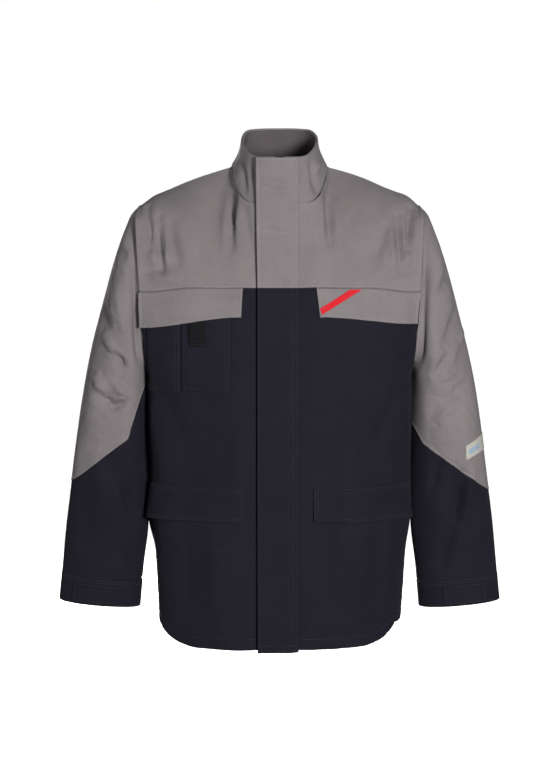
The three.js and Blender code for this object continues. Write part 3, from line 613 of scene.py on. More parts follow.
def rowLine(cloth, edge, inset, trim=0, start=0.0, end=1.0):
    # The line that runs beside one edge at this distance, as points and normals.
    spot, out = cloth["spot"], cloth["out"]
    run = cloth["runU"] if edge in ("left", "right") else cloth["runV"]
    if edge in ("left", "right"):
        spot, out, run = spot.transpose(1, 0, 2), out.transpose(1, 0, 2), run.T
    if edge in ("right", "high"):
        spot, out, run = spot[:, ::-1], out[:, ::-1], run[:, -1:] - run[:, ::-1]
    line, normal = [], []
    for points, normals, distance in zip(spot, out, run):
        line.append([np.interp(inset, distance, points[:, k]) for k in range(3)])
        normal.append([np.interp(inset, distance, normals[:, k]) for k in range(3)])
    line, normal = np.array(line), np.array(normal)
    length = np.concatenate([[0], np.cumsum(np.linalg.norm(np.diff(line, axis=0), axis=1))])
    first, last = length[-1] * start + trim, length[-1] * end - trim
    return line, normal, length, first, last


def topstitch(cloth, finish, stitchRows, ending="stitching"):
    # One object for all the rows on a piece; each row is (edge, inset, trim, start, end).
    template = bmesh.new()
    bmesh.ops.create_uvsphere(template, u_segments=6, v_segments=4, radius=0.5)
    stamp = Stamp("stitch", template)
    for row in stitchRows:
        line, normal, length, first, last = rowLine(cloth, *row)
        count = int((last - first) / thread["pitch"])
        stops = first + (np.arange(count) + 0.5) * (last - first) / count
        read = lambda values, at: np.stack([np.interp(at, length, values[:, k]) for k in range(3)], 1)
        along = read(line, stops + 1) - read(line, stops - 1)
        along /= np.linalg.norm(along, axis=1, keepdims=True)
        up = read(normal, stops)
        across = np.cross(up, along)
        across /= np.linalg.norm(across, axis=1, keepdims=True)
        for spot, *axes in zip(read(line, stops), along, across, up):
            stamp.press(spot, *(axis * thread[size] for axis, size in zip(axes, ("length", "width", "height"))))
    piece = makeObject(cloth["name"] + "_" + ending, stamp.finished(), finish)
    sewTo(piece, cloth["place"])


def newFinish(name):
    finish = bpy.data.materials.new(name)
    finish.use_nodes = True
    return finish, finish.node_tree


def feed(tree, node, inputs):
    # An output is linked to its socket, and a plain value is set on it.
    for socket, value in inputs.items():
        if isinstance(value, bpy.types.NodeSocket):
            tree.links.new(value, node.inputs[socket])
        else:
            node.inputs[socket].default_value = value


def addNode(tree, kind, result, inputs, **settings):
    node = tree.nodes.new("ShaderNode" + kind)
    for setting, value in settings.items():
        setattr(node, setting, value)
    feed(tree, node, inputs)
    return node.outputs[result]


def maths(tree, operation, first, second):
    return addNode(tree, "Math", 0, {0: first, 1: second}, operation=operation)


def weighted(tree, *parts):
    total = None
    for source, weight in parts:
        part = maths(tree, "MULTIPLY", source, weight)
        total = maths(tree, "ADD", total, part) if total else part
    return total


def mapRange(tree, source, low, high, toLow, toHigh):
    return addNode(tree, "MapRange", "Result", {"Value": source, "From Min": low, "From Max": high,
                                                "To Min": toLow, "To Max": toHigh})


def noiseOf(tree, scale, detail=2.0, roughness=0.5):
    place = addNode(tree, "TexCoord", "Object", {})
    return addNode(tree, "TexNoise", "Fac", {"Vector": place, "Scale": scale, "Detail": detail,
                                             "Roughness": roughness})


def ribs(tree, degrees, pitch, distortion=0.0):
    uv = addNode(tree, "UVMap", "UV", {}, uv_map="Weave")
    turned = addNode(tree, "Mapping", "Vector", {"Vector": uv, "Rotation": (0, 0, radians(degrees))})
    perMetre = 0.314 / pitch   # one rib each pitch
    return addNode(tree, "TexWave", "Fac", {"Vector": turned, "Scale": perMetre, "Distortion": distortion,
                                            "Detail Scale": 0.6}, wave_type="BANDS", bands_direction="X")


def rampOf(tree, source, *stops):
    node = tree.nodes.new("ShaderNodeValToRGB")
    band = node.color_ramp.elements
    while len(band) < len(stops):
        band.new(0.5)
    for k, (position, colour) in enumerate(stops):
        band[k].position, band[k].color = position, (*colour, 1)
    feed(tree, node, {"Fac": source})
    return node.outputs["Color"]


def bumpOf(tree, height, strength, distance, under=None):
    inputs = {"Height": height, "Strength": strength, "Distance": distance}
    return addNode(tree, "Bump", "Normal", {**inputs, "Normal": under} if under else inputs)


clothLook = {
    "grey": {"dark": (0.165, 0.147, 0.151), "base": (0.252, 0.226, 0.231), "light": (0.335, 0.304, 0.309),
             "sheen": 0.06, "sheenTint": (0.78, 0.74, 0.76), "pitch": 0.0013, "melange": 0.5},
    "navy": {"dark": (0.0055, 0.0050, 0.0092), "base": (0.0122, 0.0112, 0.0196),
             "light": (0.0210, 0.0196, 0.0320),
             "sheen": 0.05, "sheenTint": (0.42, 0.44, 0.56), "pitch": 0.0013, "melange": 0.42},
    # A darkened copy of the grey cloth: painted shade for the inside of the collar
    "shadedNeckLining": {"dark": (0.085, 0.073, 0.076), "base": (0.128, 0.112, 0.116),
                   "light": (0.170, 0.150, 0.155),
                   "sheen": 0.03, "sheenTint": (0.78, 0.74, 0.76), "pitch": 0.0013, "melange": 0.5},
    "lining": {"dark": (0.012, 0.012, 0.018), "base": (0.022, 0.022, 0.030), "light": (0.034, 0.034, 0.045),
               "sheen": 0.06, "sheenTint": (0.4, 0.4, 0.5), "pitch": 0.0009, "melange": 0.3},
}
shadeShare = {"twill": 0.16, "yarn": 0.07, "slub": 0.20, "mottle": 0.34, "spread": 0.42}


def clothFinish(name, look):
    finish, tree = newFinish(name)
    twill, yarn = ribs(tree, 63, look["pitch"], 0.6), ribs(tree, 0, look["pitch"] * 0.45)
    fibre, slub, mottle = noiseOf(tree, 1500, 3, 0.65), noiseOf(tree, 260), noiseOf(tree, 22, 3)
    shade = weighted(tree, (twill, shadeShare["twill"]), (yarn, shadeShare["yarn"]), (fibre, look["melange"]),
                     (slub, shadeShare["slub"]), (mottle, shadeShare["mottle"]))
    middle = (sum(shadeShare.values()) - shadeShare["spread"] + look["melange"]) / 2
    shade = mapRange(tree, shade, middle - shadeShare["spread"], middle + shadeShare["spread"], 0, 1)
    colour = rampOf(tree, shade, (0, look["dark"]), (0.5, look["base"]), (1, look["light"]))
    # Stitched edges: painted shade darkens the colour in the join itself, and wear rubs the raised fold beside
    # it a little paler.
    seam = addNode(tree, "Attribute", "Fac", {}, attribute_name="seam")
    ditch = mapRange(tree, seam, 0.2, 1.6, 0.74, 1.0)
    rub = maths(tree, "ADD", 1.0, maths(tree, "MULTIPLY", mapRange(tree, seam, 1.5, 6.0, 0.16, 0.0), slub))
    tone = addNode(tree, "VectorMath", "Vector", {0: colour, "Scale": maths(tree, "MULTIPLY", ditch, rub)},
                   operation="SCALE")
    fine = bumpOf(tree, weighted(tree, (twill, 0.6), (yarn, 0.25), (fibre, 0.5)), 0.5, 0.00022)
    # The cloth puckers along its stitching and is faintly crushed everywhere.
    near = mapRange(tree, seam, 2.0, 14.0, 1.0, 0.0)
    crush = weighted(tree, (noiseOf(tree, 150, 1.5), near), (noiseOf(tree, 48, 3), 0.6))
    feed(tree, tree.nodes["Principled BSDF"], {
        "Base Color": tone, "Roughness": mapRange(tree, fibre, 0.3, 0.7, 0.78, 0.94),
        "Normal": bumpOf(tree, crush, 0.55, 0.0011, fine), "Specular IOR Level": 0.22,
        "Sheen Weight": look["sheen"], "Sheen Roughness": 0.5, "Sheen Tint": (*look["sheenTint"], 1)})
    return finish


def threadFinish(name, dark, light):
    finish, tree = newFinish(name)
    twist = noiseOf(tree, 2400)
    feed(tree, tree.nodes["Principled BSDF"], {
        "Base Color": rampOf(tree, twist, (0.3, dark), (0.7, light)),
        "Roughness": mapRange(tree, twist, 0.3, 0.7, 0.5, 0.7),
        "Normal": bumpOf(tree, twist, 0.5, 0.0001), "Sheen Weight": 0.2})
    return finish


def webbingFinish(name, dark, light, pitch=0.0016):
    finish, tree = newFinish(name)
    weave = maths(tree, "MAXIMUM", ribs(tree, 45, pitch), ribs(tree, -45, pitch))
    shade = weighted(tree, (weave, 0.6), (noiseOf(tree, 1600), 0.5))
    feed(tree, tree.nodes["Principled BSDF"], {
        "Base Color": rampOf(tree, shade, (0.25, dark), (0.85, light)),
        "Roughness": mapRange(tree, shade, 0, 1, 0.62, 0.85),
        "Normal": bumpOf(tree, shade, 0.7, 0.0003), "Specular IOR Level": 0.15})
    return finish


def brassFinish(name, dark, light):
    finish, tree = newFinish(name)
    tarnish = noiseOf(tree, 420, 4, 0.6)
    feed(tree, tree.nodes["Principled BSDF"], {
        "Base Color": rampOf(tree, tarnish, (0.36, dark), (0.62, light)),
        "Roughness": mapRange(tree, tarnish, 0.35, 0.65, 0.66, 0.5),
        "Normal": bumpOf(tree, noiseOf(tree, 2600), 0.25, 0.0001), "Metallic": 1.0})
    return finish


labelBlock = {"X": (0.006, 0.034), "Y": (0.009, 0.018)}   # metres across and down the label


def labelFinish(name, dark, light, blockColour=None):
    finish, tree = newFinish(name)
    fibre = noiseOf(tree, 1300)
    shade = weighted(tree, (ribs(tree, 90, 0.0007), 0.4), (fibre, 0.6))
    colour = rampOf(tree, shade, (0, dark), (1, light))
    if blockColour:   # a woven tinted block with nothing written on it
        split = tree.nodes.new("ShaderNodeSeparateXYZ")
        feed(tree, split, {"Vector": addNode(tree, "UVMap", "UV", {}, uv_map="Weave")})
        inside = [maths(tree, "MULTIPLY", maths(tree, "GREATER_THAN", split.outputs[axis], low),
                        maths(tree, "LESS_THAN", split.outputs[axis], high))
                  for axis, (low, high) in labelBlock.items()]
        colour = addNode(tree, "Mix", "Result", {"Factor": maths(tree, "MULTIPLY", *inside), "A": colour,
                                                 "B": (*blockColour, 1)}, data_type="RGBA")
    feed(tree, tree.nodes["Principled BSDF"], {
        "Base Color": colour, "Roughness": mapRange(tree, fibre, 0.3, 0.7, 0.5, 0.68),
        "Normal": bumpOf(tree, shade, 0.5, 0.00015), "Specular IOR Level": 0.25})
    return finish


greyCloth = clothFinish("grey twill", clothLook["grey"])
navyCloth = clothFinish("navy twill", clothLook["navy"])
collarShadeGrey = clothFinish("collar lining grey with painted shade", clothLook["shadedNeckLining"])
pocketCloth = clothFinish("pocket lining", clothLook["lining"])
greyThread = threadFinish("grey thread", (0.20, 0.18, 0.185), (0.36, 0.33, 0.34))
navyThread = threadFinish("navy thread", (0.006, 0.006, 0.010), (0.022, 0.022, 0.032))
webbing = webbingFinish("black webbing", (0.003, 0.003, 0.004), (0.009, 0.009, 0.012))
zipTapeWeave = webbingFinish("zip tape weave", (0.010, 0.010, 0.015), (0.030, 0.030, 0.040), 0.0011)
brass = brassFinish("dull brass", (0.13, 0.10, 0.055), (0.36, 0.29, 0.16))
redSatin = labelFinish("red ribbon weave", (0.62, 0.0, 0.008), (0.86, 0.001, 0.016))
whiteWeave = labelFinish("white label weave", (0.50, 0.48, 0.43), (0.68, 0.66, 0.60), (0.38, 0.50, 0.62))
plainLabel = labelFinish("plain label weave", (0.62, 0.61, 0.57), (0.80, 0.79, 0.75))
slots = {greyCloth: "grey_cloth", collarShadeGrey: "grey_cloth", navyCloth: "navy_cloth",
         pocketCloth: "navy_cloth", webbing: "webbing", zipTapeWeave: "webbing",
         redSatin: "red_label", whiteWeave: "white_label", plainLabel: "white_label"}
print("finishes made")

hipPocket = {"inner": 60, "outer": 184, "top": 258, "height": 168, "slitDrop": 12, "slit": 2.6, "margin": 8,
             "level": 250.0}
chestPocket = {"inner": 72, "outer": 196, "top": 572, "height": 142}
panel = {"tuck": 2.5, "hemInset": 18, "hemLift": 38, "hemCurve": (128, 190), "zipClear": 0.6, "overlap": 4,
         "length": 582}


def roundedBody(side, facing, fraction, z):
    # The hem curves up towards each side seam.
    x = np.abs(bodyPoint(side, facing, fraction, z)[..., 0])
    start, end = panel["hemCurve"]
    curve = 1 - np.sqrt(1 - np.clip((x - start) / (end - start), 0, 0.97) ** 2)
    return bodyPoint(side, facing, fraction, z + panel["hemLift"] * curve * (1 - smooth(z, 0, 110)))


def onFront(side):
    return lambda x, z: bodyPoint(side, -1, fractionAt(x, z), z)


def frontSurface(side):
    def surface(u, z):
        first = fractionAt(jacket["frontEdge"], z)
        return roundedBody(side, -1, lerp(first, 1, u), z)
    return surface


def backSurface(point):
    return lambda u, v: point(np.sign(u) + (u == 0), 1, np.abs(u), v)


def tuckUnder(u, z):
    return -panel["tuck"] * smooth(z, jacket["yokeSeam"] - 7, jacket["yokeSeam"] - 2)


def frontLift(u, z):
    return tuckUnder(u, z) - panel["zipClear"] * (1 - smooth(u, 0.06, 0.11))


panelTop = jacket["yokeSeam"] + panel["overlap"]
slitTop = hipPocket["top"] - hipPocket["slitDrop"]
slitBottom = slitTop - hipPocket["slit"]
level = np.array(hipPocket["level"])
first = float(fractionAt(jacket["frontEdge"], level))
slitEnds = [(float(fractionAt(x, level)) - first) / (1 - first)
            for x in (hipPocket["inner"] + hipPocket["margin"], hipPocket["outer"] - hipPocket["margin"])]
for label, side in sides.items():
    cloth = cutCloth(f"{label}_front_cloth", faceOf(frontSurface(side), frontLift), rows(0, 1, 235, 4.2),
                     rows(0, panelTop, panel["length"], 4.6, extra=(slitBottom, slitTop)), navyCloth,
                     [f"{label}_front_panel"],
                     edges={"left": "plain", "low": "hem", "high": None},
                     slit=(*slitEnds, slitBottom, slitTop))
    topstitch(cloth, navyThread, [("low", panel["hemInset"], 3), ("left", 6.4, 4)])

backCloth = cutCloth("back_cloth", faceOf(backSurface(roundedBody), tuckUnder), rows(-1, 1, 470, 4.5),
                     rows(0, panelTop, panel["length"], 4.8), navyCloth, ["back_panel"],
                     edges={"low": "hem", "high": None})
topstitch(backCloth, navyThread, [("low", panel["hemInset"], 3)])

yokeHem = [("low", 2.2, 2), ("low", 6.4, 2)]
for label, side in sides.items():
    yokeFace = faceOf(lambda u, v, side=side: yokePoint(side, -1, u, v), 0.5, steps=(0.004, 0.004))
    cloth = cutCloth(f"{label}_yoke_cloth", yokeFace, rows(0, 1, 226, 4.2), rows(0.0, 1.0, 190, 4.2),
                     greyCloth, [f"{label}_front_yoke"], edges={"low": "turned", "left": "plain"})
    topstitch(cloth, greyThread, [*yokeHem, ("high", 5.5, 4, 0.38, 1)])

yokeFace = faceOf(backSurface(yokePoint), 0.5, steps=(0.004, 0.004))
backYoke = cutCloth("back_yoke_cloth", yokeFace, rows(-1, 1, 452, 4.2), rows(0.0, 1.0, 195, 4.4),
                    greyCloth, ["back_yoke"], edges={"low": "turned"})
topstitch(backYoke, greyThread, [*yokeHem, ("high", 5.5, 2, 0.02, 0.3), ("high", 5.5, 2, 0.7, 0.98)])
print("body sewn")

collar = {"roll": 0.085, "rollRadius": 2.5, "start": 8, "liningGap": 1.4, "liningStart": 16, "corner": 2.5,
          "stand": 1.8, "under": -0.05, "tuck": -1.7, "proud": 0.3}


def collarSurface(startX):
    def surface(u, v):
        flat = np.clip(v, collar["under"], 1)
        start = lerp(ringAngle(neck, startX), ringAngle(rim, startX), np.clip(v, 0, 1))
        degrees = lerp(start, 180, 1 - np.minimum(np.abs(u), 1))
        side = np.where(u < 0, -1, 1)
        low, high = ringPoint(neck, side, degrees), ringPoint(rim, side, degrees)
        high[..., 2] -= collar["corner"] * smooth(degrees, 70, 110) * (1 - smooth(degrees, 115, 172))
        spot = lerp(low, high, flat[..., None])
        stand = 1 - (1 - np.clip(flat, 0, 1)) ** collar["stand"]   # it flares out only near its base
        spot[..., 0] = lerp(low[..., 0], high[..., 0], np.where(flat < 0, flat, stand))
        return spot
    return surface


def collarLayer(startX, lift):
    return faceOf(collarSurface(startX), lift, rise=collarRise, steps=(0.002, 0.01),
                  centre=lambda spot: stack(0, -10, spot[..., 2]))


def collarFace(u, v):
    tuck = collar["tuck"] * (1 - smooth(v, -0.03, 0.03)) + collar["proud"]
    tuck = tuck - panel["zipClear"] * smooth(np.abs(u), 0.93, 0.96)   # room for the zip pull
    spot, out = collarLayer(collar["start"], lambda u, v: tuck)(u, np.clip(v, collar["under"], 0.995))
    turn = np.clip((v - 1) / collar["roll"], 0, 1) * pi   # over the top edge and down inside
    top = stack(0, 0, 1) + 0 * spot
    spot = spot + out * (-collar["rollRadius"] * (1 - np.cos(turn)))[..., None] \
        + top * (collar["rollRadius"] * np.sin(turn))[..., None]
    out = out * np.cos(turn)[..., None] + top * np.sin(turn)[..., None]
    return spot, out


collarRows = np.concatenate([[collar["under"], collar["under"] / 2], rows(0, 1, 70, 3.6, denseHigh=False)[:-1],
                             1 + collar["roll"] * np.linspace(0, 1, 7)])
collarCloth = cutCloth("collar_cloth", collarFace, rows(-1, 1, 460, 4), collarRows, greyCloth, ["collar"],
                       kind="plain", edges={"low": None, "high": None}, bevel=0)
topstitch(collarCloth, greyThread, [("high", 14, 4), ("low", 9, 4)])
# The lining is cut from the darkened grey, which paints shade inside the collar
liningFace = collarLayer(collar["liningStart"], -jacket["cloth"] - collar["liningGap"])
cutCloth("collar_lining_cloth", liningFace, rows(-1, 1, 430, 4.4), rows(0.02, 0.985, 66, 4.4), collarShadeGrey,
         ["collar_lining"], edges={"low": "turned", "high": None}, thick=jacket["lining"],
         bevel=0.4)
print("collar sewn")

stormFlap = {"sewn": 31, "free": -35, "bottom": -3, "top": 782, "proud": 5, "collarProud": 2.2, "gap": 0.5,
             "edge": 1.6, "tuck": 2.4}
zipTape = {"inner": 3.4, "outer": 14, "bottom": 4, "top": 774, "front": -3.1, "thick": 1.1}
teeth = {"inner": 0.05, "outer": 3.3, "front": -2.0, "back": -5.1, "pitch": 2.6, "height": 2.3,
         "bottom": 17, "top": 766, "bevel": 0.16}
facing = {"inner": 10, "outer": 58, "bottom": 18, "top": 568, "front": -4.8, "thick": 1.4}
stormPlace = (body, "storm_flap_panel", (0.0310, 0, 0), (0.0175, 0, 0))
straight = (0.2, 0.2)   # slope steps for surfaces read in millimetres


def stormYokeLift(x, z):
    fromSeam = stormFlap["sewn"] - x
    onCollar = smooth(z, jacket["yokeSeam"] + 50, neck["low"])
    sewn = lerp(stormFlap["gap"], stormFlap["collarProud"], onCollar)
    rise = lerp(sewn, stormFlap["proud"], smooth(fromSeam, 1, 15))
    return rise - stormFlap["edge"] * (1 - smooth(fromSeam, 0, 3)) + jacket["cloth"]


def stormLift(x, z):
    return stormYokeLift(x, z) - stormFlap["tuck"] * smooth(z, jacket["yokeSeam"] - 8, jacket["yokeSeam"] - 2)


stormFolds = [
    (-30, 735, 10, 728, 5, -2.0), (-20, 742, 20, 736, 5, 1.2), (-28, 668, 14, 662, 6, -2.2),
    (-24, 678, 10, 674, 6, 1.2), (-26, 756, 8, 752, 5, -1.0), (10, 632, 24, 612, 6, -1.6),
    (6, 590, 20, 600, 6, -1.2), (-20, 430, 16, 424, 8, -0.9), (-20, 250, 10, 246, 9, 0.9),
    (-26, 120, 14, 128, 9, -0.9),
]


def stormRise(points):
    near = smooth(stormFlap["sewn"] - points[..., 0], 0, 20)
    folds = foldHeight(points, stormFolds) + 0.7 * drape(points) * near
    return folds + bodyRise(points) * 0.5 * (1 - near)


acrossFlap = rows(stormFlap["free"], stormFlap["sewn"], 66, 3.6)
sideLines = [("left", 2.2, 3), ("right", 3.2, 3), ("right", 10.5, 3)]
for name, lift, low, high, finish, sewing, highEdge, lines in (
        ("storm_flap_yoke", stormYokeLift, jacket["yokeSeam"], stormFlap["top"], greyCloth, greyThread,
         "turned", [("low", 2.4, 2), ("low", 6.4, 2), ("high", 5, 2)]),
        ("storm_flap", stormLift, stormFlap["bottom"], panelTop, navyCloth, navyThread,
         None, [("low", 12, 2)])):
    cloth = cutCloth(name + "_cloth", faceOf(centrePoint, lift, stormRise, straight), acrossFlap,
                     rows(low, high, high - low, 4.6), finish, [name], place=stormPlace,
                     kind="turned", edges={"right": "ditch", "high": highEdge})
    topstitch(cloth, sewing, sideLines + lines)

for label, side in sides.items():
    cutCloth(f"{label}_facing_cloth", faceOf(onFront(side), facing["front"], steps=straight),
             rows(facing["inner"], facing["outer"], 48, 6), rows(facing["bottom"], facing["top"], 550, 6),
             navyCloth, [f"{label}_front_facing"], edges={"right": "turned"},
             thick=facing["thick"], bevel=0.4)
    face = faceOf(lambda x, z, side=side: centrePoint(side * x, z), zipTape["front"], steps=straight)
    tape = cutCloth(f"{label}_zip_tape_cloth", face,
                    rows(zipTape["inner"], zipTape["outer"], 10.6, 2.2, denseLow=False),
                    rows(zipTape["bottom"], zipTape["top"], 770, 6), zipTapeWeave, [f"{label}_zip_tape"],
                    kind="plain", edges={"low": None, "high": None},
                    thick=zipTape["thick"], bevel=0)
    topstitch(tape, navyThread, [("right", 3, 3)])


def zipTeethRow(label, side):
    # One bevelled tooth, repeated down the tape; the other side's teeth are half a pitch away.
    tooth = bmesh.new()
    bmesh.ops.create_cube(tooth, size=1)
    bmesh.ops.bevel(tooth, geom=tooth.edges[:], offset=teeth["bevel"], affect="EDGES", segments=1, profile=0.5,
                    material=-1)
    stamp = Stamp("tooth", tooth)
    face = faceOf(centrePoint, (teeth["front"] + teeth["back"]) / 2, steps=straight)
    levels = np.arange(teeth["bottom"], teeth["top"], teeth["pitch"])
    levels = levels + (teeth["pitch"] / 2 if side > 0 else 0)
    xs = np.full(len(levels), side * (teeth["inner"] + teeth["outer"]) / 2)
    for spot, out in zip(*face(xs, levels)):
        stamp.press(spot, np.array([1, 0, 0]) * (teeth["outer"] - teeth["inner"]),
                    out * (teeth["front"] - teeth["back"]), np.cross(out, [1, 0, 0]) * teeth["height"])
    row = makeObject(f"{label}_zip_teeth_row", stamp.finished(), brass, smoothShade=False)
    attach(row, body)
    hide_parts(f"{label}_zip_teeth")


for label, side in sides.items():
    zipTeethRow(label, side)
print("front closed")

# Radius and height of a snap's cap, from its middle to its back.
snap = {"profile": [(0, 1.0), (2.2, 1.0), (3.2, 0.75), (4.0, 0.2), (4.4, -0.5), (4.4, -1.0), (0, -1.0)],
        "radius": 4.4, "depth": 0.8, "steps": 28, "count": 4}


def snapPiece(node, bodyName, degrees):
    low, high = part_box(node)
    radius, deep = (high.x - low.x) / 2, (high.y - low.y) / 2 * snap["depth"]
    bm = bmesh.new()
    ring = [bm.verts.new((r / snap["radius"] * radius, 0, h * deep)) for r, h in snap["profile"]]
    for pair in zip(ring[:-1], ring[1:]):
        bm.edges.new(pair)
    bmesh.ops.spin(bm, geom=bm.verts[:] + bm.edges[:], cent=(0, 0, 0), axis=(0, 0, 1), angle=2 * pi,
                   steps=snap["steps"], use_merge=True)
    bmesh.ops.remove_doubles(bm, verts=bm.verts, dist=0.00003)
    bmesh.ops.rotate(bm, verts=bm.verts, cent=(0, 0, 0), matrix=Matrix.Rotation(radians(degrees), 3, "X"))
    bmesh.ops.translate(bm, verts=bm.verts, vec=(low + high) / 2)
    bmesh.ops.recalc_face_normals(bm, faces=bm.faces)
    piece = makeObject(node + "_cap", bm, brass)
    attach(piece, bodyName)
    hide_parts(node)


for number in range(1, snap["count"] + 1):
    snapPiece(f"snap_stud_{number}", body, 90)
    snapPiece(f"snap_socket_{number}", "storm_flap_panel", -90)

chestFlap = {"inner": 57, "top": 577.4, "innerDrop": 45.4, "outerDrop": {-1: 63.4, 1: 57.5}, "edge": 1.2,
             "gap": 0.5, "under": 4, "proud": {-1: 7.2, 1: 1.4}, "slant": {-1: 2.3, 1: 6}, "tuck": 4.6,
             "bend": 0.012}
hipFlap = {"inner": 54, "outer": 0.86, "top": 262, "innerDrop": 54, "outerDrop": 58, "flare": 8, "gap": 0.5,
           "tuck": 1.2, "swell": 1.6, "bend": 0.012}
patch = {"inner": 77.5, "outer": 153, "top": 560, "height": 146, "proud": 4.6, "sewnLift": 2.4, "thick": 1.9,
         "width": 75, "soft": 12}
pen = {"inner": 156, "edge": 9, "height": 149}
strap = {"inner": 115.5, "outer": 140.5, "top": 548, "height": 62, "lift": 6.8, "thick": 1.6,
         "bow": 1.2, "cup": 0.5}
shareStep = (0.002, 0.002)   # slope steps for surfaces read in shares


def chestFlapSurface(side):
    def surface(u, v):
        drop = lerp(chestFlap["innerDrop"], chestFlap["outerDrop"][side], smooth(u, 0, 1))
        z = chestFlap["top"] + chestFlap["under"] - v * (chestFlap["under"] + drop)
        margin = chestFlap["edge"] * smooth(v, 0.1, 0.5) + 0.3
        x = lerp(chestFlap["inner"] + chestFlap["slant"][side] * v, sideEdge(z)[0] - margin, u)
        return bodyPoint(side, -1, fractionAt(x, z), z)
    return surface


def hipFlapSurface(side):
    def surface(u, v):
        z = hipFlap["top"] - v * lerp(hipFlap["innerDrop"], hipFlap["outerDrop"], u)
        return bodyPoint(side, -1, lerp(fractionAt(hipFlap["inner"], z), hipFlap["outer"], u), z)
    return surface


def patchSurface(side, inner, outer, top, height):
    def surface(u, v):
        z = top - v * height
        outerX = outer(z) if callable(outer) else outer
        return bodyPoint(side, -1, fractionAt(lerp(inner, outerX, u), z), z)
    return surface


def patchLift(u, v):
    edge = np.minimum(np.minimum(u, 1 - u) * patch["width"], (1 - v) * patch["height"])
    return lerp(patch["sewnLift"], patch["proud"], smooth(edge, 0, patch["soft"]))


def chestLift(side):
    def lift(u, v):
        proud = (chestFlap["proud"][side] - chestFlap["gap"]) * smooth(v, 0.06, 0.6)
        return chestFlap["gap"] + proud + jacket["cloth"] - chestFlap["tuck"] * (1 - smooth(v, 0.05, 0.095))
    return lift


def hipLift(u, v):
    out = hipFlap["gap"] + hipFlap["flare"] * smooth(u, 0.6, 1) * v + jacket["cloth"]
    return out - hipFlap["tuck"] * (1 - smooth(v, 0, 0.08)) + hipFlap["swell"] * smooth(v, 0.3, 1)


def hinged(flap, length):
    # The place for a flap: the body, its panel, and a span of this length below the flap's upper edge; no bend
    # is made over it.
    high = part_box(flap)[1].z
    return (body, f"{flap}_panel", (0, 0, high), (0, 0, high - length))


def outline(edges, inset, trim=3):
    return [(edge, inset, trim) for edge in edges]


for label, side in sides.items():
    node = f"{label}_chest_flap"
    cloth = cutCloth(f"{node}_cloth", faceOf(chestFlapSurface(side), chestLift(side), steps=shareStep),
                     rows(0, 1, 176, 4), rows(0, 1, 58, 3.6), greyCloth, [node],
                     place=hinged(node, chestFlap["bend"]), kind="turned", edges={"low": None})
    topstitch(cloth, greyThread, outline(("left", "high", "right"), 2.2) + outline(("left", "high"), 6.4, 7))
    if side < 0:
        topstitch(cloth, navyThread, [("high", 0.9, 0, 0.38, 0.43), ("high", 1.6, 0, 0.38, 0.43)],
                  ending="bartack")

    node = f"{label}_hip_flap"
    cloth = cutCloth(f"{node}_cloth", faceOf(hipFlapSurface(side), hipLift, steps=shareStep),
                     rows(0, 1, 160, 4), rows(0, 1, 56, 3.6), navyCloth, [node],
                     place=hinged(node, hipFlap["bend"]), kind="turned")
    topstitch(cloth, navyThread, [("low", 2.2, 3), ("low", 6.4, 3), ("left", 2.2, 3), ("left", 6.4, 7),
                                  ("high", 2.2, 3), ("high", 6.4, 7), ("right", 2.2, 3)])

penOuter = lambda z: sideEdge(np.maximum(z, jacket["armpit"] + 40))[0] - pen["edge"]
for name, inner, outer, wide, height, second, extra in (
        ("chest", patch["inner"], patch["outer"], 76, patch["height"], 7, [("low", 12, 2)]),
        ("pen", pen["inner"], penOuter, 62, pen["height"], 9, [])):
    surface = patchSurface(-1, inner, outer, patch["top"], height)
    cloth = cutCloth(f"right_{name}_pocket_cloth", faceOf(surface, patchLift, steps=shareStep),
                     rows(0, 1, wide, 4), rows(0, 1, height, 4), navyCloth, [f"right_{name}_pocket"],
                     kind="turned", thick=patch["thick"])
    topstitch(cloth, navyThread, [("left", 2, 2), ("left", second, 2), ("right", 2, 2), ("high", 2, 2),
                                  ("high", 7, 2), *extra])


def strapLift(x, z):
    bow = np.sin(pi * np.clip((strap["top"] - z) / strap["height"], 0, 1))
    across = (x - strap["inner"]) / (strap["outer"] - strap["inner"])
    return strap["lift"] + strap["bow"] * bow + strap["cup"] * np.sin(across * pi)


loop = cutCloth("strap_loop_webbing", faceOf(onFront(-1), strapLift, steps=straight),
                rows(strap["inner"], strap["outer"], 25, 2.4, denseLow=False, denseHigh=False),
                rows(strap["top"] - strap["height"], strap["top"], 62, 3), webbing, ["right_strap_loop"],
                kind="plain", edges={"low": "turned", "high": None},
                thick=strap["thick"], bevel=0.5)
topstitch(loop, navyThread, [("low", 3, 1), ("low", 9, 1)])

bag = {"thick": 0.8, "gap": 1.2, "full": 4.2, "width": 120, "soft": 16}


def pocketBag(name, side, shape, node):
    # A thin pouch sewn to the back of the front: nearly flat at its edge and a little full in the middle.
    def lift(u, v):
        edge = np.minimum(np.minimum(u, 1 - u) * bag["width"], np.minimum(v, 1 - v) * shape["height"])
        return -jacket["cloth"] - bag["gap"] - bag["full"] * smooth(edge, 0, bag["soft"])
    surface = patchSurface(side, shape["inner"], shape["outer"], shape["top"], shape["height"])
    cutCloth(name, faceOf(surface, lift, steps=shareStep), rows(0, 1, 130, 5.5),
             rows(0, 1, shape["height"], 5.5), pocketCloth, [node],
             kind="plain", thick=bag["thick"], bevel=0)


for label, side in sides.items():
    pocketBag(f"{label}_hip_pocket_cloth", side, hipPocket, f"{label}_hip_pocket_bag")
pocketBag("left_chest_pocket_cloth", 1, chestPocket, "left_chest_pocket_bag")
print("pockets sewn")

cuffTab = {"sewn": 128, "free": 68, "low": 0.955, "high": 0.996, "gap": 0.3, "thick": 1.1, "lift": 0.3}
bend = {"start": 0.2145, "run": 0.056, "across": 0.975, "down": -0.222}
sleeveCloth = {"overlap": 0.016, "underCuff": 0.006, "lift": 0.4, "cuffLift": 0.3, "cuffThick": 2.8,
               "tuck": (2.3, 2.2)}
ring = {"left": None, "right": None}   # a tube's two long edges are joined


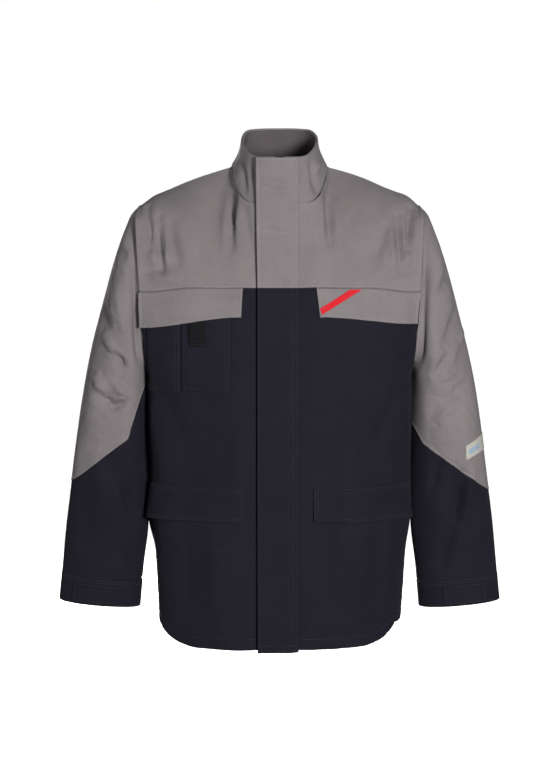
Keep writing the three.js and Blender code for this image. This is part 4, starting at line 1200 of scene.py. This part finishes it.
def sleevePlace(label, side):
    start = Vector(toFrame(np.array([0, 0, float(jacket["armpit"])])))
    start.x = side * bend["start"]
    end = start + Vector((side * bend["across"], 0, bend["down"])) * bend["run"]
    return (body, f"{label}_sleeve", start, end)


def sleeveFace(side, surface, lift, step):
    return faceOf(surface, lift, armRise(side), (0.3, step), armCentre)


def lowerLift(degrees, v):
    # Both ends go under the cloth they are sewn to.
    under, underCuff = sleeveCloth["tuck"]
    return -under * (1 - smooth(v, 0.02, 0.05)) - underCuff * smooth(v, 0.982, 0.992)


for label, side in sides.items():
    kinks = [angle for angle, share in sleeve["seamRight" if side < 0 else "seamLeft"][1:-1]]
    around = rows(0, 360, 380, 4.4, extra=kinks)
    place = sleevePlace(label, side)

    def upperSurface(degrees, v, side=side):
        return sleevePoint(side, np.clip(degrees, 0, 360), np.maximum(v, 0) * colourSeam(side, degrees))

    def lowerSurface(degrees, v, side=side):
        first = colourSeam(side, degrees) - sleeveCloth["overlap"]
        along = lerp(first, sleeve["cuffStart"] + sleeveCloth["underCuff"], v)
        return sleevePoint(side, np.clip(degrees, 0, 360), along)

    def cuffSurface(degrees, along, side=side):
        return sleevePoint(side, np.clip(degrees, 0, 360), along)

    upper = cutCloth(f"{label}_upper_sleeve_cloth", sleeveFace(side, upperSurface, sleeveCloth["lift"], 0.004),
                     around, rows(0, 1, 420, 4.6), greyCloth,
                     [f"{label}_upper_sleeve_front", f"{label}_upper_sleeve_back"],
                     place=place, edges={**ring, "high": "turned"}, close=True)
    topstitch(upper, greyThread, [("high", 2.2, 1), ("high", 6.4, 1)])
    cutCloth(f"{label}_lower_sleeve_cloth", sleeveFace(side, lowerSurface, lowerLift, 0.004),
             around, rows(0, 1, 260, 4.6), navyCloth,
             [f"{label}_lower_sleeve_front", f"{label}_lower_sleeve_back"],
             place=place, kind=None, close=True)
    cuff = cutCloth(f"{label}_cuff_cloth", sleeveFace(side, cuffSurface, sleeveCloth["cuffLift"], 0.002),
                    rows(0, 360, 260, 4), rows(sleeve["cuffStart"], 1.0, 36, 3), navyCloth, [f"{label}_cuff"],
                    place=f"{label}_sleeve", edges={**ring, "high": "plain"},
                    thick=sleeveCloth["cuffThick"], close=True)
    topstitch(cuff, navyThread, [("low", 2.2, 1), ("low", 6.4, 1), ("high", 3, 1)])
    tabLift = cuffTab["gap"] + cuffTab["thick"] + cuffTab["lift"]
    tab = cutCloth(f"{label}_cuff_tab_cloth", sleeveFace(side, cuffSurface, tabLift, 0.002),
                   rows(cuffTab["free"], cuffTab["sewn"], 52, 3), rows(cuffTab["low"], cuffTab["high"], 26, 3),
                   navyCloth, [f"{label}_cuff_tab"], place=f"{label}_cuff_tab_strap",
                   kind="turned", thick=cuffTab["thick"])
    topstitch(tab, navyThread, outline(("left", "low", "high", "right"), 2.2, 2))
print("sleeves sewn")

# The ribbon's corners: steps in from the flap's inner edge and down from its top.
ribbon = {"low": ((6, 31.4), (9, 40.9)), "high": ((54, 1.9), (73, 1.9)), "lift": 4.9, "thick": 0.8}
sleeveLabel = {"turn": (113, 186), "along": (0.643, 0.678), "lift": 1.2, "thick": 0.7}
sizeLabel = {"half": 24, "top": 752, "bottom": 716, "thick": 0.9, "curl": 0.5}
hanger = {"y": 58, "z": 764, "half": 34, "height": 8, "thick": 1.3, "seat": 0.6, "droop": 0.6}


def ribbonSurface(u, v):
    corners = np.array([ribbon["low"], ribbon["high"]], float)   # end along the ribbon, edge across it
    nearEdge, farEdge = (lerp(corners[0, k], corners[1, k], u[..., None]) for k in (0, 1))
    step = lerp(nearEdge, farEdge, v[..., None])
    z = chestFlap["top"] - step[..., 1]
    return bodyPoint(1, -1, fractionAt(chestFlap["inner"] + step[..., 0], z), z)


def evenRows(low, high, length, spacing):
    return rows(low, high, length, spacing, denseLow=False, denseHigh=False)


cutCloth("red_ribbon_cloth", faceOf(ribbonSurface, ribbon["lift"], steps=(0.01, 0.01)),
         evenRows(0, 1, 60, 3), evenRows(0, 1, 11, 2), redSatin, ["red_ribbon_label"],
         place=hinged("left_chest_flap", chestFlap["bend"]), kind="plain",
         edges=ring, thick=ribbon["thick"], bevel=0.2)
labelSurface = lambda degrees, along: sleevePoint(1, degrees, along)
armLabel = cutCloth("sleeve_label_cloth", sleeveFace(1, labelSurface, sleeveLabel["lift"], 0.002),
                    evenRows(*sleeveLabel["turn"], 62, 3), evenRows(*sleeveLabel["along"], 21, 2.5), whiteWeave,
                    ["sleeve_label"], place=sleevePlace("left", 1), kind="plain",
                    edges=ring, thick=sleeveLabel["thick"], bevel=0.2)
topstitch(armLabel, greyThread, outline(("low", "high", "left", "right"), 1.5, 1))


def hangerFace(u, v):
    # A strip that stands off the neck wall in the middle and is sewn to it at both ends.
    x = hanger["half"] * u
    degrees = 180 - ringAngle(neck, np.abs(x))
    wall = ringPoint(neck, 1, degrees)[..., 1] - jacket["cloth"] + hanger["seat"]
    bow = (1 - u ** 2) ** 2
    y = lerp(wall, hanger["y"], bow) - hanger["thick"]
    spot = stack(x, y - hanger["droop"] * np.sin(pi * v) * bow, hanger["z"] + (v - 0.5) * hanger["height"])
    out = stack(np.gradient(y[:, 0], x[:, 0])[:, None] + 0 * x, -1, 0)
    return spot, out / np.linalg.norm(out, axis=-1, keepdims=True)


hangerLoop = cutCloth("hanger_loop_webbing", hangerFace, np.linspace(-1, 1, 41), np.linspace(0, 1, 6), webbing,
                      ["hanger_loop"], kind="plain", edges=ring, thick=hanger["thick"],
                      bevel=0.35)
topstitch(hangerLoop, navyThread, [("left", 2, 0.5), ("left", 5, 0.5), ("right", 2, 0.5), ("right", 5, 0.5)])


def sizeLabelFace(x, z):
    lowY, highY = (np.array(corner)[1] * 1000 - patternOrigin[1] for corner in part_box("size_label"))
    t = (z - sizeLabel["bottom"]) / (sizeLabel["top"] - sizeLabel["bottom"])
    spot = stack(x, lerp(highY - sizeLabel["thick"], lowY, t) + sizeLabel["curl"] * np.cos(x / 9), z)
    return spot, stack(0, -1, 0) + 0 * spot


neckLabel = cutCloth("size_label_cloth", sizeLabelFace, np.linspace(-sizeLabel["half"], sizeLabel["half"], 17),
                     np.linspace(sizeLabel["bottom"], sizeLabel["top"], 13), plainLabel, ["size_label"],
                     kind="plain", thick=sizeLabel["thick"], bevel=0.2)
topstitch(neckLabel, greyThread, [("high", 2, 1), ("left", 2, 1), ("right", 2, 1)])

# The rest of the metal keeps its own shape.
for name in ("zip_slider", "zip_pull", "zip_bottom_box", "zip_pin", "right_zip_top_stop", "left_zip_top_stop"):
    if not nodes[name].material_slots:
        nodes[name].data.materials.append(brass)
    for place in nodes[name].material_slots:
        place.material = brass
print("labels and metal done")

stageLook = {"floor": -1.25, "size": 120, "glow": 1.0, "world": 0.09, "tone": 0.9, "roughness": 0.9}
camera = {"distance": 3.6, "elevation": 6, "aim": (0, 0, 403), "lens": 67.69655, "sensor": 24}
white = (1, 1, 1, 1)

bm = bmesh.new()
bmesh.ops.create_grid(bm, x_segments=2, y_segments=2, size=stageLook["size"])
bmesh.ops.translate(bm, verts=bm.verts, vec=(0, 0, stageLook["floor"]))
paleFloor, floorTree = newFinish("pale floor")
feed(floorTree, floorTree.nodes["Principled BSDF"], {
    "Base Color": (*[stageLook["tone"]] * 3, 1), "Roughness": stageLook["roughness"], "Emission Color": white,
    "Emission Strength": stageLook["glow"]})
floor = makeObject("floor", bm, paleFloor, smoothShade=False)
floor.visible_diffuse = floor.visible_glossy = False   # the floor is seen, and the lamps alone light the cloth

# The backdrop is white to the camera and dim to everything else.
world = bpy.data.worlds.new("studio")
world.use_nodes = True
bpy.context.scene.world = world
worldTree = world.node_tree
lit = worldTree.nodes["Background"]
feed(worldTree, lit, {"Color": white, "Strength": stageLook["world"]})
seen = addNode(worldTree, "Background", "Background", {"Color": white})
ray = addNode(worldTree, "LightPath", "Is Camera Ray", {})
mixed = addNode(worldTree, "MixShader", "Shader", {"Fac": ray, 1: lit.outputs["Background"], 2: seen})
feed(worldTree, worldTree.nodes["World Output"], {"Surface": mixed})

lampAim = Vector((0, -0.05, -0.35))
softLights = {   # place, size and power
    "front key": ((0.95, -3.2, 0.0), 0.7, 94), "left fill": ((-3.0, -0.8, 0.2), 1.4, 14),
    "right fill": ((3.2, 1.0, 0.3), 1.6, 4), "back key": ((-1.2, 3.3, -0.1), 1.2, 84),
}


def aimed(name, data, place, target):
    thing = bpy.data.objects.new(name, data)
    thing.location = place
    thing.rotation_euler = (target - Vector(place)).to_track_quat("-Z", "Y").to_euler()
    bpy.context.scene.collection.objects.link(thing)
    return thing


for name, (spot, size, power) in softLights.items():
    light = bpy.data.lights.new(name, "AREA")
    light.shape = "DISK"
    light.size = size
    light.energy = power
    aimed(name, light, spot, lampAim)

aim = Vector(toFrame(np.array(camera["aim"], float)))
tilt = radians(camera["elevation"])
lens = bpy.data.cameras.new("camera")
lens.sensor_fit = "VERTICAL"
lens.sensor_height = camera["sensor"]
lens.lens = camera["lens"]
viewer = aimed("camera", lens, aim + Vector((0, -np.cos(tilt), np.sin(tilt))) * camera["distance"], aim)
bpy.context.scene.camera = viewer
bpy.context.scene.view_settings.view_transform = "Standard"
print("stage set")
